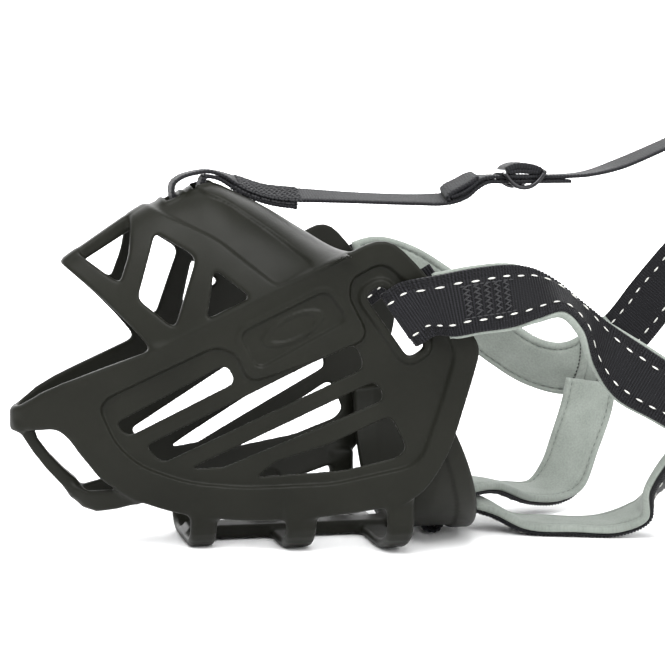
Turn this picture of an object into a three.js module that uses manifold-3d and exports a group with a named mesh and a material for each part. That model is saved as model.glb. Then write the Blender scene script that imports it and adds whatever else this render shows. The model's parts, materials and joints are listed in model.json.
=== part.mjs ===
// Basket muzzle for a large dog: a silicone basket held on by a padded neck strap, a padded
// throat strap and a thin forehead strap. Millimetres, +Z up, nose towards -X, the dog's left
// side towards -Y. The muzzle stands on its chin bars, with the floor at z = 0 and the origin
// on the middle plane, under the middle chin bar.
import * as THREE from "three";
import { mergeVertices } from "three/addons/utils/BufferGeometryUtils.js";
import Module from "manifold-3d";

const wasm = await Module();
wasm.setup();

// ---- driving dimensions -------------------------------------------------------------------
const GAP = 0.3; // between pieces that touch
const SILICONE = 3; // wall thickness of the basket
const FACET = 24; // longest edge of a curved wall's triangles

const NOSE_X = -94.5; // foremost point of the front ring
const NOSE_JOIN_X = -60; // where the rounded nose becomes the straight side
const WIDTH_AT_ORIGIN = 41.3; // half width of the basket at x = 0
const WIDTH_SLOPE = 0.36; // growth of the half width towards the rear
const NOSE_SPREAD = 3.35; // half width per root millimetre behind the nose
const CURL = 10; // how far the side walls curl in at the floor
const CURL_HEIGHT = 40; // where that curl starts
const SPLIT_X = -70; // where the side panels take over from the front ring

const CREASE_AT_ORIGIN = 93.6; // height of the crease between side panel and nose cap
const CREASE_SLOPE = 0.544;

const WEBBING = 1.6; // thickness of the 20 mm webbing
const LINER = 2.5; // thickness of the padded lining
const LINER_OVERHANG = 0.8; // how far the lining stands out past each edge of the webbing
const NARROW = 1.3; // thickness of the 10 mm forehead webbing
const NARROW_WIDTH = 10;

// ---- materials ----------------------------------------------------------------------------
const silicone = new THREE.MeshStandardMaterial({ color: 0x393a34, roughness: 0.62 });
const webbing = new THREE.MeshStandardMaterial({ color: 0x1b1b1f, roughness: 0.85 });
const lining = new THREE.MeshStandardMaterial({ color: 0x9aa69b, roughness: 0.95 });
const steel = new THREE.MeshStandardMaterial({ color: 0xc8c9cc, roughness: 0.25, metalness: 1 });
const plastic = new THREE.MeshStandardMaterial({ color: 0x17181a, roughness: 0.45 });

const muzzle = new THREE.Group();

function addMesh(name, geometry, material, parent = muzzle) {
  const mesh = new THREE.Mesh(geometry, material);
  mesh.name = name;
  parent.add(mesh);
  return mesh;
}

// ---- geometry helpers ---------------------------------------------------------------------
// A path through corner points [x, y, radius], each corner rounded to its radius.
function rounded(path, corners) {
  const count = corners.length;
  const at = (i) => new THREE.Vector2(corners[i % count][0], corners[i % count][1]);
  for (let i = 0; i < count; i += 1) {
    const corner = at(i);
    const radius = corners[i][2] ?? 0;
    const before = at(i + count - 1).sub(corner);
    const after = at(i + 1).sub(corner);
    const cut = Math.min(radius, before.length() * 0.45, after.length() * 0.45);
    const start = corner.clone().add(before.setLength(cut));
    const end = corner.clone().add(after.setLength(cut));
    if (i === 0) path.moveTo(start.x, start.y);
    else path.lineTo(start.x, start.y);
    if (cut > 0) path.quadraticCurveTo(corner.x, corner.y, end.x, end.y);
  }
  path.closePath();
  return path;
}

function outline(corners, holes = []) {
  const points = corners.map(([x, y]) => new THREE.Vector2(x, y));
  const anticlockwise = THREE.ShapeUtils.isClockWise(points) ? [...corners].reverse() : corners;
  const shape = rounded(new THREE.Shape(), anticlockwise);
  holes.forEach((hole) => shape.holes.push(rounded(new THREE.Path(), hole)));
  return shape;
}

function closed(geometry) {
  geometry.deleteAttribute("normal");
  geometry.deleteAttribute("uv");
  return mergeVertices(geometry, 1e-3);
}

// Turns a closed geometry's faces round, for a mapping that mirrors.
function flipped(geometry) {
  const index = geometry.index.array;
  for (let i = 0; i < index.length; i += 3) {
    [index[i + 1], index[i + 2]] = [index[i + 2], index[i + 1]];
  }
  return geometry;
}

function signedVolume(geometry) {
  const p = geometry.attributes.position;
  const index = geometry.index.array;
  const [a, b, c] = [new THREE.Vector3(), new THREE.Vector3(), new THREE.Vector3()];
  let sum = 0;
  for (let i = 0; i < index.length; i += 3) {
    a.fromBufferAttribute(p, index[i]);
    b.fromBufferAttribute(p, index[i + 1]);
    c.fromBufferAttribute(p, index[i + 2]);
    sum += a.dot(b.cross(c));
  }
  return sum;
}

function facingOut(geometry) {
  return signedVolume(geometry) < 0 ? flipped(geometry) : geometry;
}

function solid(geometry) {
  return new wasm.Manifold(
    new wasm.Mesh({
      numProp: 3,
      vertProperties: geometry.attributes.position.array,
      triVerts: new Uint32Array(geometry.index.array),
    }),
  );
}

function geometryOf(made) {
  const mesh = made.getMesh();
  const geometry = new THREE.BufferGeometry();
  geometry.setAttribute("position", new THREE.BufferAttribute(mesh.vertProperties, 3));
  geometry.setIndex(new THREE.BufferAttribute(mesh.triVerts, 1));
  return geometry;
}

function surfaceNormal(surface, u, v) {
  const step = 0.05;
  const along = surface(u + step, v).sub(surface(u - step, v));
  const across = surface(u, v + step).sub(surface(u, v - step));
  return along.cross(across).normalize();
}

// Cuts every edge longer than `longest` in the middle, again and again. Whether an edge is cut
// depends on that edge alone, so neighbouring triangles stay joined.
function refined(geometry, longest) {
  const points = [];
  const p = geometry.attributes.position;
  for (let i = 0; i < p.count; i += 1) points.push(new THREE.Vector3().fromBufferAttribute(p, i));
  let triangles = [];
  const index = geometry.index.array;
  for (let i = 0; i < index.length; i += 3) triangles.push([...index.slice(i, i + 3)]);
  const middles = new Map();
  const middle = (a, b) => {
    const key = a < b ? `${a},${b}` : `${b},${a}`;
    if (points[a].distanceTo(points[b]) <= longest) return null;
    if (!middles.has(key)) {
      middles.set(key, points.length);
      points.push(points[a].clone().add(points[b]).multiplyScalar(0.5));
    }
    return middles.get(key);
  };
  for (let cut = true; cut; ) {
    cut = false;
    const next = [];
    for (const triangle of triangles) {
      const k = [0, 1, 2].find((i) => middle(triangle[i], triangle[(i + 1) % 3]) !== null);
      if (k === undefined) {
        next.push(triangle);
        continue;
      }
      cut = true;
      const lengths = [0, 1, 2].map((i) =>
        points[triangle[i]].distanceTo(points[triangle[(i + 1) % 3]]),
      );
      const i = lengths.indexOf(Math.max(...lengths));
      const [a, b, c] = [triangle[i], triangle[(i + 1) % 3], triangle[(i + 2) % 3]];
      const m = middle(a, b);
      next.push([a, m, c], [m, b, c]);
    }
    triangles = next;
  }
  const result = new THREE.BufferGeometry();
  const flat = points.flatMap((point) => point.toArray());
  result.setAttribute("position", new THREE.Float32BufferAttribute(flat, 3));
  result.setIndex(triangles.flat());
  return result;
}

// A wall that follows a curved surface: the flat pattern (u, v) is cut into small triangles and
// laid on surface(u, v), from depth `from` to depth `to` along the surface's normal.
function wall(pattern, surface, from, to, facet = FACET) {
  const flat = new THREE.ExtrudeGeometry(pattern, {
    depth: 1,
    bevelEnabled: false,
    curveSegments: 3,
  });
  const geometry = refined(closed(flat), facet);
  const p = geometry.attributes.position;
  for (let i = 0; i < p.count; i += 1) {
    const [u, v, w] = [p.getX(i), p.getY(i), p.getZ(i)];
    const point = surface(u, v);
    point.addScaledVector(surfaceNormal(surface, u, v), from + (to - from) * w);
    p.setXYZ(i, point.x, point.y, point.z);
  }
  return facingOut(geometry);
}

// A strap between two edge curves given by control points, from offset `low` to offset `high`
// along its normal. `from` and `to` are places on the list of points, and `overhang` widens it.
function ribbon(edges, low, high, { from = 0, to, overhang = 0, perPoint = 3 } = {}) {
  const last = edges.length - 1;
  const end = to ?? last;
  const curves = [0, 1].map(
    (side) => new THREE.CatmullRomCurve3(edges.map((pair) => new THREE.Vector3(...pair[side]))),
  );
  const stations = Math.max(2, Math.round((end - from) * perPoint));
  const position = [];
  for (let i = 0; i <= stations; i += 1) {
    const t = Math.min((from + i / perPoint) / last, 1);
    const near = Math.max(t - 1e-3, 0);
    const far = Math.min(t + 1e-3, 1);
    const a = curves[0].getPoint(t);
    const b = curves[1].getPoint(t);
    const centre = (s) => curves[0].getPoint(s).add(curves[1].getPoint(s));
    const tangent = centre(far).sub(centre(near));
    const across = b.clone().sub(a).normalize();
    const normal = tangent.cross(across).normalize();
    a.addScaledVector(across, -overhang);
    b.addScaledVector(across, overhang);
    [
      [a, low],
      [b, low],
      [b, high],
      [a, high],
    ].forEach(([edge, offset]) => {
      const corner = edge.clone().addScaledVector(normal, offset);
      position.push(corner.x, corner.y, corner.z);
    });
  }
  const index = [0, 1, 2, 0, 2, 3];
  for (let i = 0; i < stations; i += 1) {
    for (let k = 0; k < 4; k += 1) {
      const a = i * 4 + k;
      const b = i * 4 + ((k + 1) % 4);
      // The upper face is split along the same diagonal as the lower one, so that strap and
      // lining stay apart where they twist.
      if (k === 2) index.push(a, a + 4, b + 4, a, b + 4, b);
      else index.push(a, a + 4, b, b, a + 4, b + 4);
    }
  }
  const e = stations * 4;
  index.push(e, e + 2, e + 1, e, e + 3, e + 2);
  const geometry = new THREE.BufferGeometry();
  geometry.setAttribute("position", new THREE.Float32BufferAttribute(position, 3));
  geometry.setIndex(index);
  return facingOut(geometry);
}

// ---- the basket's shape -------------------------------------------------------------------
function halfWidth(x) {
  if (x > NOSE_JOIN_X) return WIDTH_AT_ORIGIN + WIDTH_SLOPE * x;
  return NOSE_SPREAD * Math.sqrt(Math.max(x - NOSE_X, 0));
}

function curl(z) {
  const depth = Math.max(0, (CURL_HEIGHT - z) / CURL_HEIGHT);
  return CURL * depth * depth;
}

// The side wall at (x, z), on the dog's left with side = -1 and on its right with side = 1.
function sideWall(side) {
  return (x, z) => new THREE.Vector3(x, side * (halfWidth(x) - curl(z)), z);
}

// The wall round the nose. u runs from -1 on the dog's left over 0 at the nose to 1 on its
// right, scaled by NOSE_WRAP to about true length.
const NOSE_WRAP = 34;
function noseWall(u, z) {
  const t = u / NOSE_WRAP;
  const x = NOSE_X + (SPLIT_X - NOSE_X) * t * t;
  const y = NOSE_SPREAD * Math.sqrt(SPLIT_X - NOSE_X) * t;
  const narrow = 1 - curl(z) / halfWidth(SPLIT_X);
  return new THREE.Vector3(x + curl(z) * 0.9 * (1 - t * t), y * narrow, z);
}

const creaseHeight = (x) => CREASE_AT_ORIGIN + CREASE_SLOPE * x;

// Height of the cap's ridge: two straight slopes that meet in the crest.
const RIDGE = [
  [-80, 92.4],
  [-49, 113.2],
  [-28.5, 120.8],
  [-9.8, 111.7],
  [5, 102.2],
  [18, 92.5],
  [40, 76],
];
function ridgeHeight(x) {
  const i = Math.min(
    Math.max(RIDGE.findIndex((point) => point[0] > x), 1),
    RIDGE.length - 1,
  );
  const [[x0, z0], [x1, z1]] = [RIDGE[i - 1], RIDGE[i]];
  return z0 + ((z1 - z0) * (x - x0)) / (x1 - x0);
}

// The arched cap. v is the way across the arch from the ridge, 0, to the crease, +-ARCH.
const ARCH = 50;
const ARCH_FALL = 2.4; // how flat the arch is at its ridge
const ARCH_SPREAD = 0.85;
function capWall(x, v) {
  const s = Math.abs(v) / ARCH;
  const low = creaseHeight(x);
  const y = halfWidth(Math.max(x, -88)) * s ** ARCH_SPREAD;
  const z = low + (ridgeHeight(x) - low) * (1 - s ** ARCH_FALL);
  return new THREE.Vector3(x, Math.sign(v) * y, z);
}

// The place across the arch of a point of the cap seen from the side.
function across(x, z) {
  const t = (z - creaseHeight(x)) / (ridgeHeight(x) - creaseHeight(x));
  return ARCH * Math.max(1 - t, 0) ** (1 / ARCH_FALL);
}

// ---- basket: side panels ------------------------------------------------------------------
const PANEL = [
  [SPLIT_X + GAP, 58.6, 0],
  [-50, 65.9, 4],
  [5, 95.8, 0],
  [21, 104, 9],
  [32.4, 93.2, 3],
  [49.6, 69, 12],
  [40.6, 34.5, 9],
  [30.4, 19, 10],
  [5, 13.3, 6],
  [-29.3, 11.2, 8],
  [-56, 17.4, 6],
  [SPLIT_X + GAP, 26.6, 0],
];
const SLOTS = [
  // four slanted air slots, from the front
  [[-61.5, 42, 2.5], [-27, 62.2, 3], [-24.4, 56.2, 3], [-57.2, 38.4, 3]],
  [[-52.2, 34.4, 2.5], [11.6, 69.4, 4], [15, 61.6, 3], [-47, 29.4, 3]],
  [[-37.6, 27.6, 1.5], [17.7, 57.1, 3], [20.9, 51.6, 3], [-30, 27.6, 1.5]],
  [[-17.4, 25.2, 1.5], [23, 46.5, 4], [27.6, 34.4, 4], [8.6, 28.8, 0]],
  // the slot for the neck strap
  [[14.7, 84.9, 2.4], [20, 88.5, 2.4], [33.2, 68.6, 2.4], [27.9, 65, 2.4]],
];
// ---- basket: nose cap ---------------------------------------------------------------------
const CAP_LIFT = 0.7; // the cap ends this far above the panels' crease
const CAP_FRONT = [
  [-50.5, 66.6],
  [-56, 73.6],
  [-66, 83.8],
  [-76.6, 93.2],
];
const CAP_WINDOWS = [
  [[-69, 96.3, 2], [-55.8, 103.5, 2], [-60.5, 88.3, 2.5]],
  [[-47.7, 103.6, 2.5], [-35.6, 96.3, 3], [-43, 74.4, 3], [-53.9, 82.7, 2.5]],
  [[-30.4, 92, 2], [-19.8, 83.8, 2.5], [-33, 79.6, 2.5]],
];
const CAP_END_X = 9; // the cap's rear edge at the panels
const CAP_END_RIDGE_X = 18; // and at the ridge
const STRAP_SLOTS = [[-43.2, -38.2], [-34, -29]]; // along the ridge, with the strap bar between
const STRAP_SLOT_WIDTH = 14;

function capPattern(lift = CAP_LIFT) {
  const reach = ARCH - lift;
  const left = CAP_FRONT.slice(1).map(([x, z]) => [x, -across(x, z), 4]);
  const corners = [
    [CAP_FRONT[0][0], -reach, 3],
    ...left,
    ...left.map(([x, v, r]) => [x, -v, r]).reverse(),
    [CAP_FRONT[0][0], reach, 3],
    [CAP_END_X, reach, 3],
    [CAP_END_RIDGE_X, 20, 10],
    [CAP_END_RIDGE_X, -20, 10],
    [CAP_END_X, -reach, 3],
  ];
  const holes = [];
  for (const side of [-1, 1]) {
    CAP_WINDOWS.forEach((hole) => {
      holes.push(hole.map(([x, z, r]) => [x, side * across(x, z), r]));
    });
  }
  STRAP_SLOTS.forEach(([front, rear]) => {
    const half = ARCH * (STRAP_SLOT_WIDTH / 2 / halfWidth(rear)) ** (1 / ARCH_SPREAD);
    holes.push([[front, -half, 1.5], [front, half, 1.5], [rear, half, 1.5], [rear, -half, 1.5]]);
  });
  return outline(corners, holes);
}
addMesh("nose_cap", wall(capPattern(), capWall, 0, -SILICONE, 16), silicone);

// The side panels end where the cap begins, so each is cut back from a slightly larger cap.
const ROOM = GAP * 1.5; // by which it is larger
const capRoom = solid(wall(capPattern(CAP_LIFT - ROOM), capWall, ROOM, -SILICONE - ROOM, 16));
for (const [name, side] of [["side_panel_left", -1], ["side_panel_right", 1]]) {
  const panel = solid(wall(outline(PANEL, SLOTS), sideWall(side), 0, side * SILICONE));
  addMesh(name, geometryOf(panel.subtract(capRoom)), silicone);
}

// ---- basket: front ring, front bar and chin front -----------------------------------------
const RING_END = NOSE_WRAP - GAP;
const RING = [
  [-RING_END, 58.6, 0],
  [-20, 52, 10],
  [0, 46.6, 10],
  [20, 52, 10],
  [RING_END, 58.6, 0],
  [RING_END, 28, 0],
  [27, 35, 4],
  [20, 39.5, 4],
  [0, 38, 8],
  [-20, 39.5, 4],
  [-27, 35, 4],
  [-RING_END, 28, 0],
];
addMesh("front_ring", wall(outline(RING), noseWall, 0, SILICONE, 9), silicone);

// The bar that comes down from the ring to the chin in the middle of the front.
const FRONT_BAR_WIDTH = 9;
const FRONT_BAR = [
  [-92, 37.4],
  [-87.2, 37.4],
  [-70.6, 18.4],
  [-75.4, 18.4],
];

function extrudedAcross(corners, width, holes = []) {
  const geometry = new THREE.ExtrudeGeometry(outline(corners, holes), {
    depth: width,
    bevelEnabled: false,
    curveSegments: 4,
  });
  geometry.translate(0, 0, -width / 2);
  geometry.rotateX(Math.PI / 2); // the pattern's second axis becomes Z
  return closed(geometry);
}
addMesh("front_bar", extrudedAcross(FRONT_BAR, FRONT_BAR_WIDTH), silicone);

// The chin front: a low wall round the chin, under the panels' front corners.
const CHIN_X = -75.5;
const CHIN_REAR_X = -57;
const CHIN_HALF = 15.6;
const CHIN_WRAP = 25;
function chinWall(u, z) {
  const t = u / CHIN_WRAP;
  return new THREE.Vector3(CHIN_X + (CHIN_REAR_X - CHIN_X) * t * t, CHIN_HALF * t, z);
}
const CHIN_FRONT = [
  [-CHIN_WRAP, 16.8, 0],
  [-18, 18, 0],
  [18, 18, 0],
  [CHIN_WRAP, 16.8, 0],
  [CHIN_WRAP, 12, 2],
  [10, 10.8, 0],
  [-10, 10.8, 0],
  [-CHIN_WRAP, 12, 2],
];
addMesh("chin_front", wall(outline(CHIN_FRONT), chinWall, 0, SILICONE, 9), silicone);

// ---- basket: chin bars, rail and band -----------------------------------------------------
// A chin bar is a bent strip from one side panel's lower edge to the other's: [half width at
// the top, half width of the flat under it, height of the top].
function chinBar(name, fromX, toX, halfTop, halfFlat, top) {
  const inner = halfFlat - SILICONE * 0.6;
  const profile = [
    [-halfTop, top, 0],
    [-halfTop, 7, 5],
    [-halfFlat, 0, 3],
    [halfFlat, 0, 3],
    [halfTop, 7, 5],
    [halfTop, top, 0],
    [halfTop - SILICONE, top, 0],
    [halfTop - SILICONE, 8, 4],
    [inner, SILICONE, 3],
    [-inner, SILICONE, 3],
    [-halfTop + SILICONE, 8, 4],
    [-halfTop + SILICONE, top, 0],
  ];
  const geometry = new THREE.ExtrudeGeometry(outline(profile), {
    depth: toX - fromX,
    bevelEnabled: false,
    curveSegments: 3,
  });
  geometry.rotateX(Math.PI / 2); // the profile's second axis becomes Z
  geometry.rotateZ(Math.PI / 2); // the profile's first axis becomes Y
  geometry.translate(fromX, 0, 0);
  addMesh(name, closed(geometry), silicone);
}
chinBar("chin_bar_front", -38, -29.2, 23.9, 15, 10.4);
chinBar("chin_bar_middle", -8.4, 1.6, 35.2, 22, 11.8);
chinBar("chin_bar_rear", 22.6, 31.4, 47, 27, 16.4);

const RAIL = { front: -37, rear: 31.4, half: 6, low: SILICONE + GAP, high: SILICONE + GAP + 2.2 };
const railShape = [
  [RAIL.front, RAIL.low, 0],
  [RAIL.rear, RAIL.low, 0],
  [RAIL.rear, RAIL.high, 1],
  [RAIL.front, RAIL.high, 1],
];

// The band under the rear of the chin: a quarter ellipse on each side of the middle. v is the
// angle from the lowest point in degrees.
const BAND_HALF = 51.6; // half width from BAND_FULL_X on
const BAND_LOW = 2.4; // its underside, which leaves room for the throat strap's loop
const BAND_HEIGHT = 42;
const BAND_FRONT_X = 31.7;
const BAND_FULL_X = 39.3;
const BAND_REAR_X = 59;
const BAND_REAR_TOP_X = 43.5;
function bandWall(x, v) {
  const angle = THREE.MathUtils.degToRad(v);
  const half = BAND_HALF - WIDTH_SLOPE * Math.max(BAND_FULL_X - x, 0);
  const y = half * Math.sin(angle);
  return new THREE.Vector3(x, y, BAND_LOW + BAND_HEIGHT * (1 - Math.cos(angle)));
}
const THROAT_SLOTS = [[41.6, 44.8], [48.6, 52]]; // the throat strap's bar is between them
const THROAT_SLOT_ANGLE = 13;
function bandPattern() {
  const rear = (v) => BAND_REAR_X - (BAND_REAR_X - BAND_REAR_TOP_X) * (v / 85) ** 2;
  const corners = [[BAND_FRONT_X, -85, 0]];
  for (let v = -85; v <= 85; v += 17) corners.push([rear(v), v, 0]);
  corners.push([BAND_FRONT_X, 85, 0]);
  const slots = THROAT_SLOTS.map(([front, back]) => [
    [front, -THROAT_SLOT_ANGLE, 1],
    [front, THROAT_SLOT_ANGLE, 1],
    [back, THROAT_SLOT_ANGLE, 1],
    [back, -THROAT_SLOT_ANGLE, 1],
  ]);
  return outline(corners, slots);
}
addMesh("chin_band", wall(bandPattern(), bandWall, 0, SILICONE), silicone);
addMesh("chin_rail", extrudedAcross(railShape, RAIL.half * 2), silicone);

// ---- neck strap ---------------------------------------------------------------------------
// The strap comes out of the panel's slot square to it. On each side it is laid by its place
// along the panel, p, and its height over the panel's face, n, and the width follows the slot.
const SLOT_CENTRE = [23.3, 76.3];
const SLOT_ALONG = [-0.552, 0.833]; // from the slot's lower end to its upper end, in x and z
const SLOT_ACROSS = [0.833, 0.552]; // from the slot towards the rear
const STRAP_HALF = 10;
function atSlot(side, p, n) {
  const yaw = Math.atan(WIDTH_SLOPE);
  const edge = (sign) => {
    const x = SLOT_CENTRE[0] + SLOT_ACROSS[0] * p + SLOT_ALONG[0] * sign * STRAP_HALF;
    const z = SLOT_CENTRE[1] + SLOT_ACROSS[1] * p + SLOT_ALONG[1] * sign * STRAP_HALF;
    return [x - n * Math.sin(yaw), side * (halfWidth(x) + n * Math.cos(yaw)), z];
  };
  return [edge(1), edge(-1)];
}

// The fold round the slot's rear lip, from the ply inside the panel to the ply outside it.
const FOLD = [
  [18.5, -6.6],
  [10, -6.6],
  [5.6, -6.2],
  [3.2, -4.6],
  [2.6, -2.2],
  [3, 0.8],
  [5.6, 2.4],
  [9.2, 3.4],
];

// Each pair is the strap's upper edge and its lower edge.
const NECK_LEFT = [
  ...FOLD.map(([p, n]) => atSlot(-1, p, n)),
  [[36, -60.4, 92.6], [40.5, -61.8, 73]],
  [[45, -62.5, 94.4], [47.5, -64, 74.4]],
  [[57, -60.5, 95.2], [58.5, -65, 75.9]],
  [[66, -56, 93.6], [66.5, -66, 78.6]],
  [[75.5, -51.5, 88.8], [74.5, -66, 80.4]],
  [[84, -52, 82], [81.5, -64, 74.3]],
  [[92, -56, 76], [87, -59, 62]],
  [[103, -59, 68.6], [94.5, -57, 51.8]],
  [[116, -60, 60.5], [107, -57.5, 44.4]],
  [[131, -59, 54], [125, -57.5, 35.2]],
  [[144, -57.5, 52], [146, -56, 32.2]],
  [[155, -55, 54.6], [164, -53.2, 37]],
];

// The buckle stands on a straight run of the neck strap, from its lower end up to the back of
// the neck. RUN is the way up it, RUN_WIDE the strap's width and RUN_OUT its outer face.
const RUN_START = new THREE.Vector3(176, -47, 58);
const RUN = new THREE.Vector3(0.511, 0.269, 0.816).normalize();
const RUN_WIDE = new THREE.Vector3(0.86, -0.16, -0.486).normalize();
const RUN_OUT = RUN_WIDE.clone().cross(RUN).normalize();
const onRun = (s, wide, out) =>
  RUN_START.clone()
    .addScaledVector(RUN, s)
    .addScaledVector(RUN_WIDE, wide)
    .addScaledVector(RUN_OUT, out)
    .toArray();
const runPair = (s, out = 0) => [onRun(s, -STRAP_HALF, out), onRun(s, STRAP_HALF, out)];
const NECK_END = 36; // where the near strap ends on the run
NECK_LEFT.push(...[-14, -7, 0, 18, NECK_END].map((s) => runPair(s)));

const NECK_RIGHT = [
  ...FOLD.map(([p, n]) => atSlot(1, p, n)),
  [[36, 60.4, 95], [40.5, 61.8, 75.8]],
  [[45, 62, 96], [48, 63.5, 76.6]],
  [[57, 61, 92.6], [58.4, 65.4, 73.4]],
  [[70, 59, 84.8], [67, 67.4, 67]],
  [[83, 56.5, 74.2], [77, 66.8, 58.6]],
  [[94, 54, 64.2], [88.7, 65, 50]],
  [[103.5, 52, 58.4], [101, 61, 42.2]],
  [[112, 50.6, 57.4], [115, 55.4, 39]],
  [[119, 49.6, 60.8], [129, 50, 44]],
  [[127, 48, 68], [141, 47, 54.6]],
  [[136, 46, 80], [151, 44, 67.6]],
  [[147, 43.6, 93.6], [161.5, 41, 80.4]],
  [[165, 39.6, 113], [180, 36.6, 100.4]],
  [[185, 34, 132], [201, 31, 121]],
  [[206, 25, 146.5], [222, 22, 137]],
  [[224, 11, 156.4], [241.5, 12, 149.2]],
  [[229, -4, 158.6], [248, -1, 153.4]],
];
const BACK_END = 101.5; // where the rear webbing ends, in the female half's window
NECK_RIGHT.push(...[124, 116, 108, BACK_END].map((s) => runPair(s)));

// Seen along a strap from nose to rear, its normal points to the dog's right.
const LINER_START = 8 + 1 / 3;
const LINER_END = 16 + 2 / 3;
addMesh("neck_webbing_left", ribbon(NECK_LEFT, -WEBBING, 0), webbing);
addMesh("neck_webbing_right", ribbon(NECK_RIGHT, 0, WEBBING), webbing);
const neckLiner = { from: LINER_START, to: LINER_END, overhang: LINER_OVERHANG };
addMesh("neck_liner_left", ribbon(NECK_LEFT, GAP, GAP + LINER, neckLiner), lining);
addMesh("neck_liner_right", ribbon(NECK_RIGHT, -GAP - LINER, -GAP, neckLiner), lining);

// ---- throat strap -------------------------------------------------------------------------
// Each pair is the strap's far edge and its near edge. The left branch comes down from the left
// neck strap, runs along the floor into the chin band and loops round the band's strap bar.
const THROAT_LEFT = [
  [[148.5, -49, 48], [129, -51, 52]],
  [[143, -46, 37], [124.5, -51.4, 41.5]],
  [[132.5, -35, 26], [117.5, -47.5, 30]],
  [[122, -25, 16], [112.5, -42, 18]],
  [[116, -17, 8], [114, -36, 7]],
  [[104, -12, 2.7], [106, -31, 2.2]],
  [[88, -7, 2.1], [92, -26, 1.9]],
  [[75, -1, 3], [77, -20, 2.2]],
  [[66, 6, 7.8], [67, -13, 6.6]],
  [[59, 10, 8.6], [59, -10, 8.6]],
  [[54, 10, 8.5], [54, -10, 8.5]],
  [[50.4, 10, 7.6], [50.4, -10, 7.6]],
  [[49.6, 10, 4.4], [49.6, -10, 4.4]],
  [[48, 10, 2.1], [48, -10, 2.1]],
  [[45.6, 10, 2.1], [45.6, -10, 2.1]],
  [[44, 10, 4.2], [44, -10, 4.2]],
  [[43.8, 10, 7.2], [43.8, -10, 7.2]],
];
const THROAT_LEFT_LINED = 8 + 2 / 3; // where its lining ends, behind the band
// The right branch starts on top of it and goes up to the right neck strap.
const THROAT_RIGHT = [
  [[52, 10, 11.6], [52, -10, 11.6]],
  [[60, 11.4, 13.3], [60.5, -8.6, 13.3]],
  [[70, 21, 11.6], [73, 2, 12.2]],
  [[82, 29, 8.4], [88, 13, 5.8]],
  [[93, 33.6, 7.6], [101.5, 20, 4.4]],
  [[99.6, 36.6, 15], [111.5, 27, 7.6]],
  [[104, 39, 25.5], [118.6, 33, 19.8]],
  [[108.4, 42, 36.5], [125.4, 40, 32.5]],
  [[110.6, 43.2, 45.4], [128, 42.2, 42.8]],
];
const throatLiner = { overhang: LINER_OVERHANG };
addMesh("throat_webbing_left", ribbon(THROAT_LEFT, -WEBBING, 0), webbing);
addMesh(
  "throat_liner_left",
  ribbon(THROAT_LEFT, GAP, GAP + LINER, { ...throatLiner, to: THROAT_LEFT_LINED }),
  lining,
);
addMesh("throat_webbing_right", ribbon(THROAT_RIGHT, 0, WEBBING), webbing);
addMesh("throat_liner_right", ribbon(THROAT_RIGHT, -GAP - LINER, -GAP, throatLiner), lining);

// ---- forehead strap -----------------------------------------------------------------------
// A strip across the middle plane: its centre line in x and z, bent, and as wide as the strap.
function strip(points) {
  const curve = new THREE.CatmullRomCurve3(points.map(([x, z]) => new THREE.Vector3(x, z, 0)));
  const steps = points.length * 3;
  const sides = [[], []];
  for (let i = 0; i <= steps; i += 1) {
    const at = curve.getPoint(i / steps);
    const tangent = curve.getTangent(i / steps);
    [-1, 1].forEach((sign, k) => {
      const offset = (sign * NARROW) / 2;
      sides[k].push([at.x - tangent.y * offset, at.y + tangent.x * offset]);
    });
  }
  return extrudedAcross([...sides[0], ...sides[1].reverse()], NARROW_WIDTH);
}

// From its sewn end on the ridge, round the cap's strap bar and back to the slider.
const FOREHEAD_FRONT = [
  [1, 112.7],
  [-8, 114],
  [-17, 117.1],
  [-25.8, 121],
  [-29.7, 121.2],
  [-30.8, 118.8],
  [-31.4, 116.2],
  [-32.8, 114],
  [-35, 112.9],
  [-37.2, 112.3],
  [-39.3, 113.4],
  [-40.4, 116],
  [-40, 119.2],
  [-37.4, 121.3],
  [-33, 122.6],
  [-28.4, 123.1],
  [-23.4, 121.9],
  [-17, 118.9],
  [-9, 116.2],
  [-2, 115.2],
  [8, 114.6],
  [20, 113.9],
  [32, 113.3],
  [44, 112.9],
  [50, 112.9],
  [55, 113.4],
  [59.5, 115],
  [63.5, 117.6],
  [67, 118.8],
  [72, 118.9],
  [96, 118.9],
];
// On top of it through the slider, then up to the back of the neck and round the neck strap.
const FOREHEAD_REAR = [
  [54, 115.1],
  [57.4, 116.2],
  [60.8, 118.1],
  [64.2, 120],
  [67.6, 120.5],
  [72, 120.55],
  [96, 120.55],
  [104, 121.4],
  [114.5, 124.4],
  [129, 130.2],
  [146, 137.6],
  [168, 145.9],
  [192, 153.6],
  [208, 158.6],
  [218, 162],
  [226, 163.2],
  [236, 161.6],
  [246, 158.4],
  [252.2, 154.8],
  [252, 151.2],
  [247.6, 149.2],
  [238, 151.8],
  [228, 155.2],
  [220, 158],
];
addMesh("forehead_front_strap", strip(FOREHEAD_FRONT), webbing);
addMesh("forehead_rear_strap", strip(FOREHEAD_REAR), webbing);

// ---- hardware -----------------------------------------------------------------------------
function box([x0, x1], [y0, y1], [z0, z1]) {
  const geometry = new THREE.BoxGeometry(x1 - x0, y1 - y0, z1 - z0);
  geometry.translate((x0 + x1) / 2, (y0 + y1) / 2, (z0 + z1) / 2);
  return solid(closed(geometry));
}

function joined(solids) {
  return geometryOf(solids.reduce((sum, next) => sum.add(next)));
}

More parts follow.
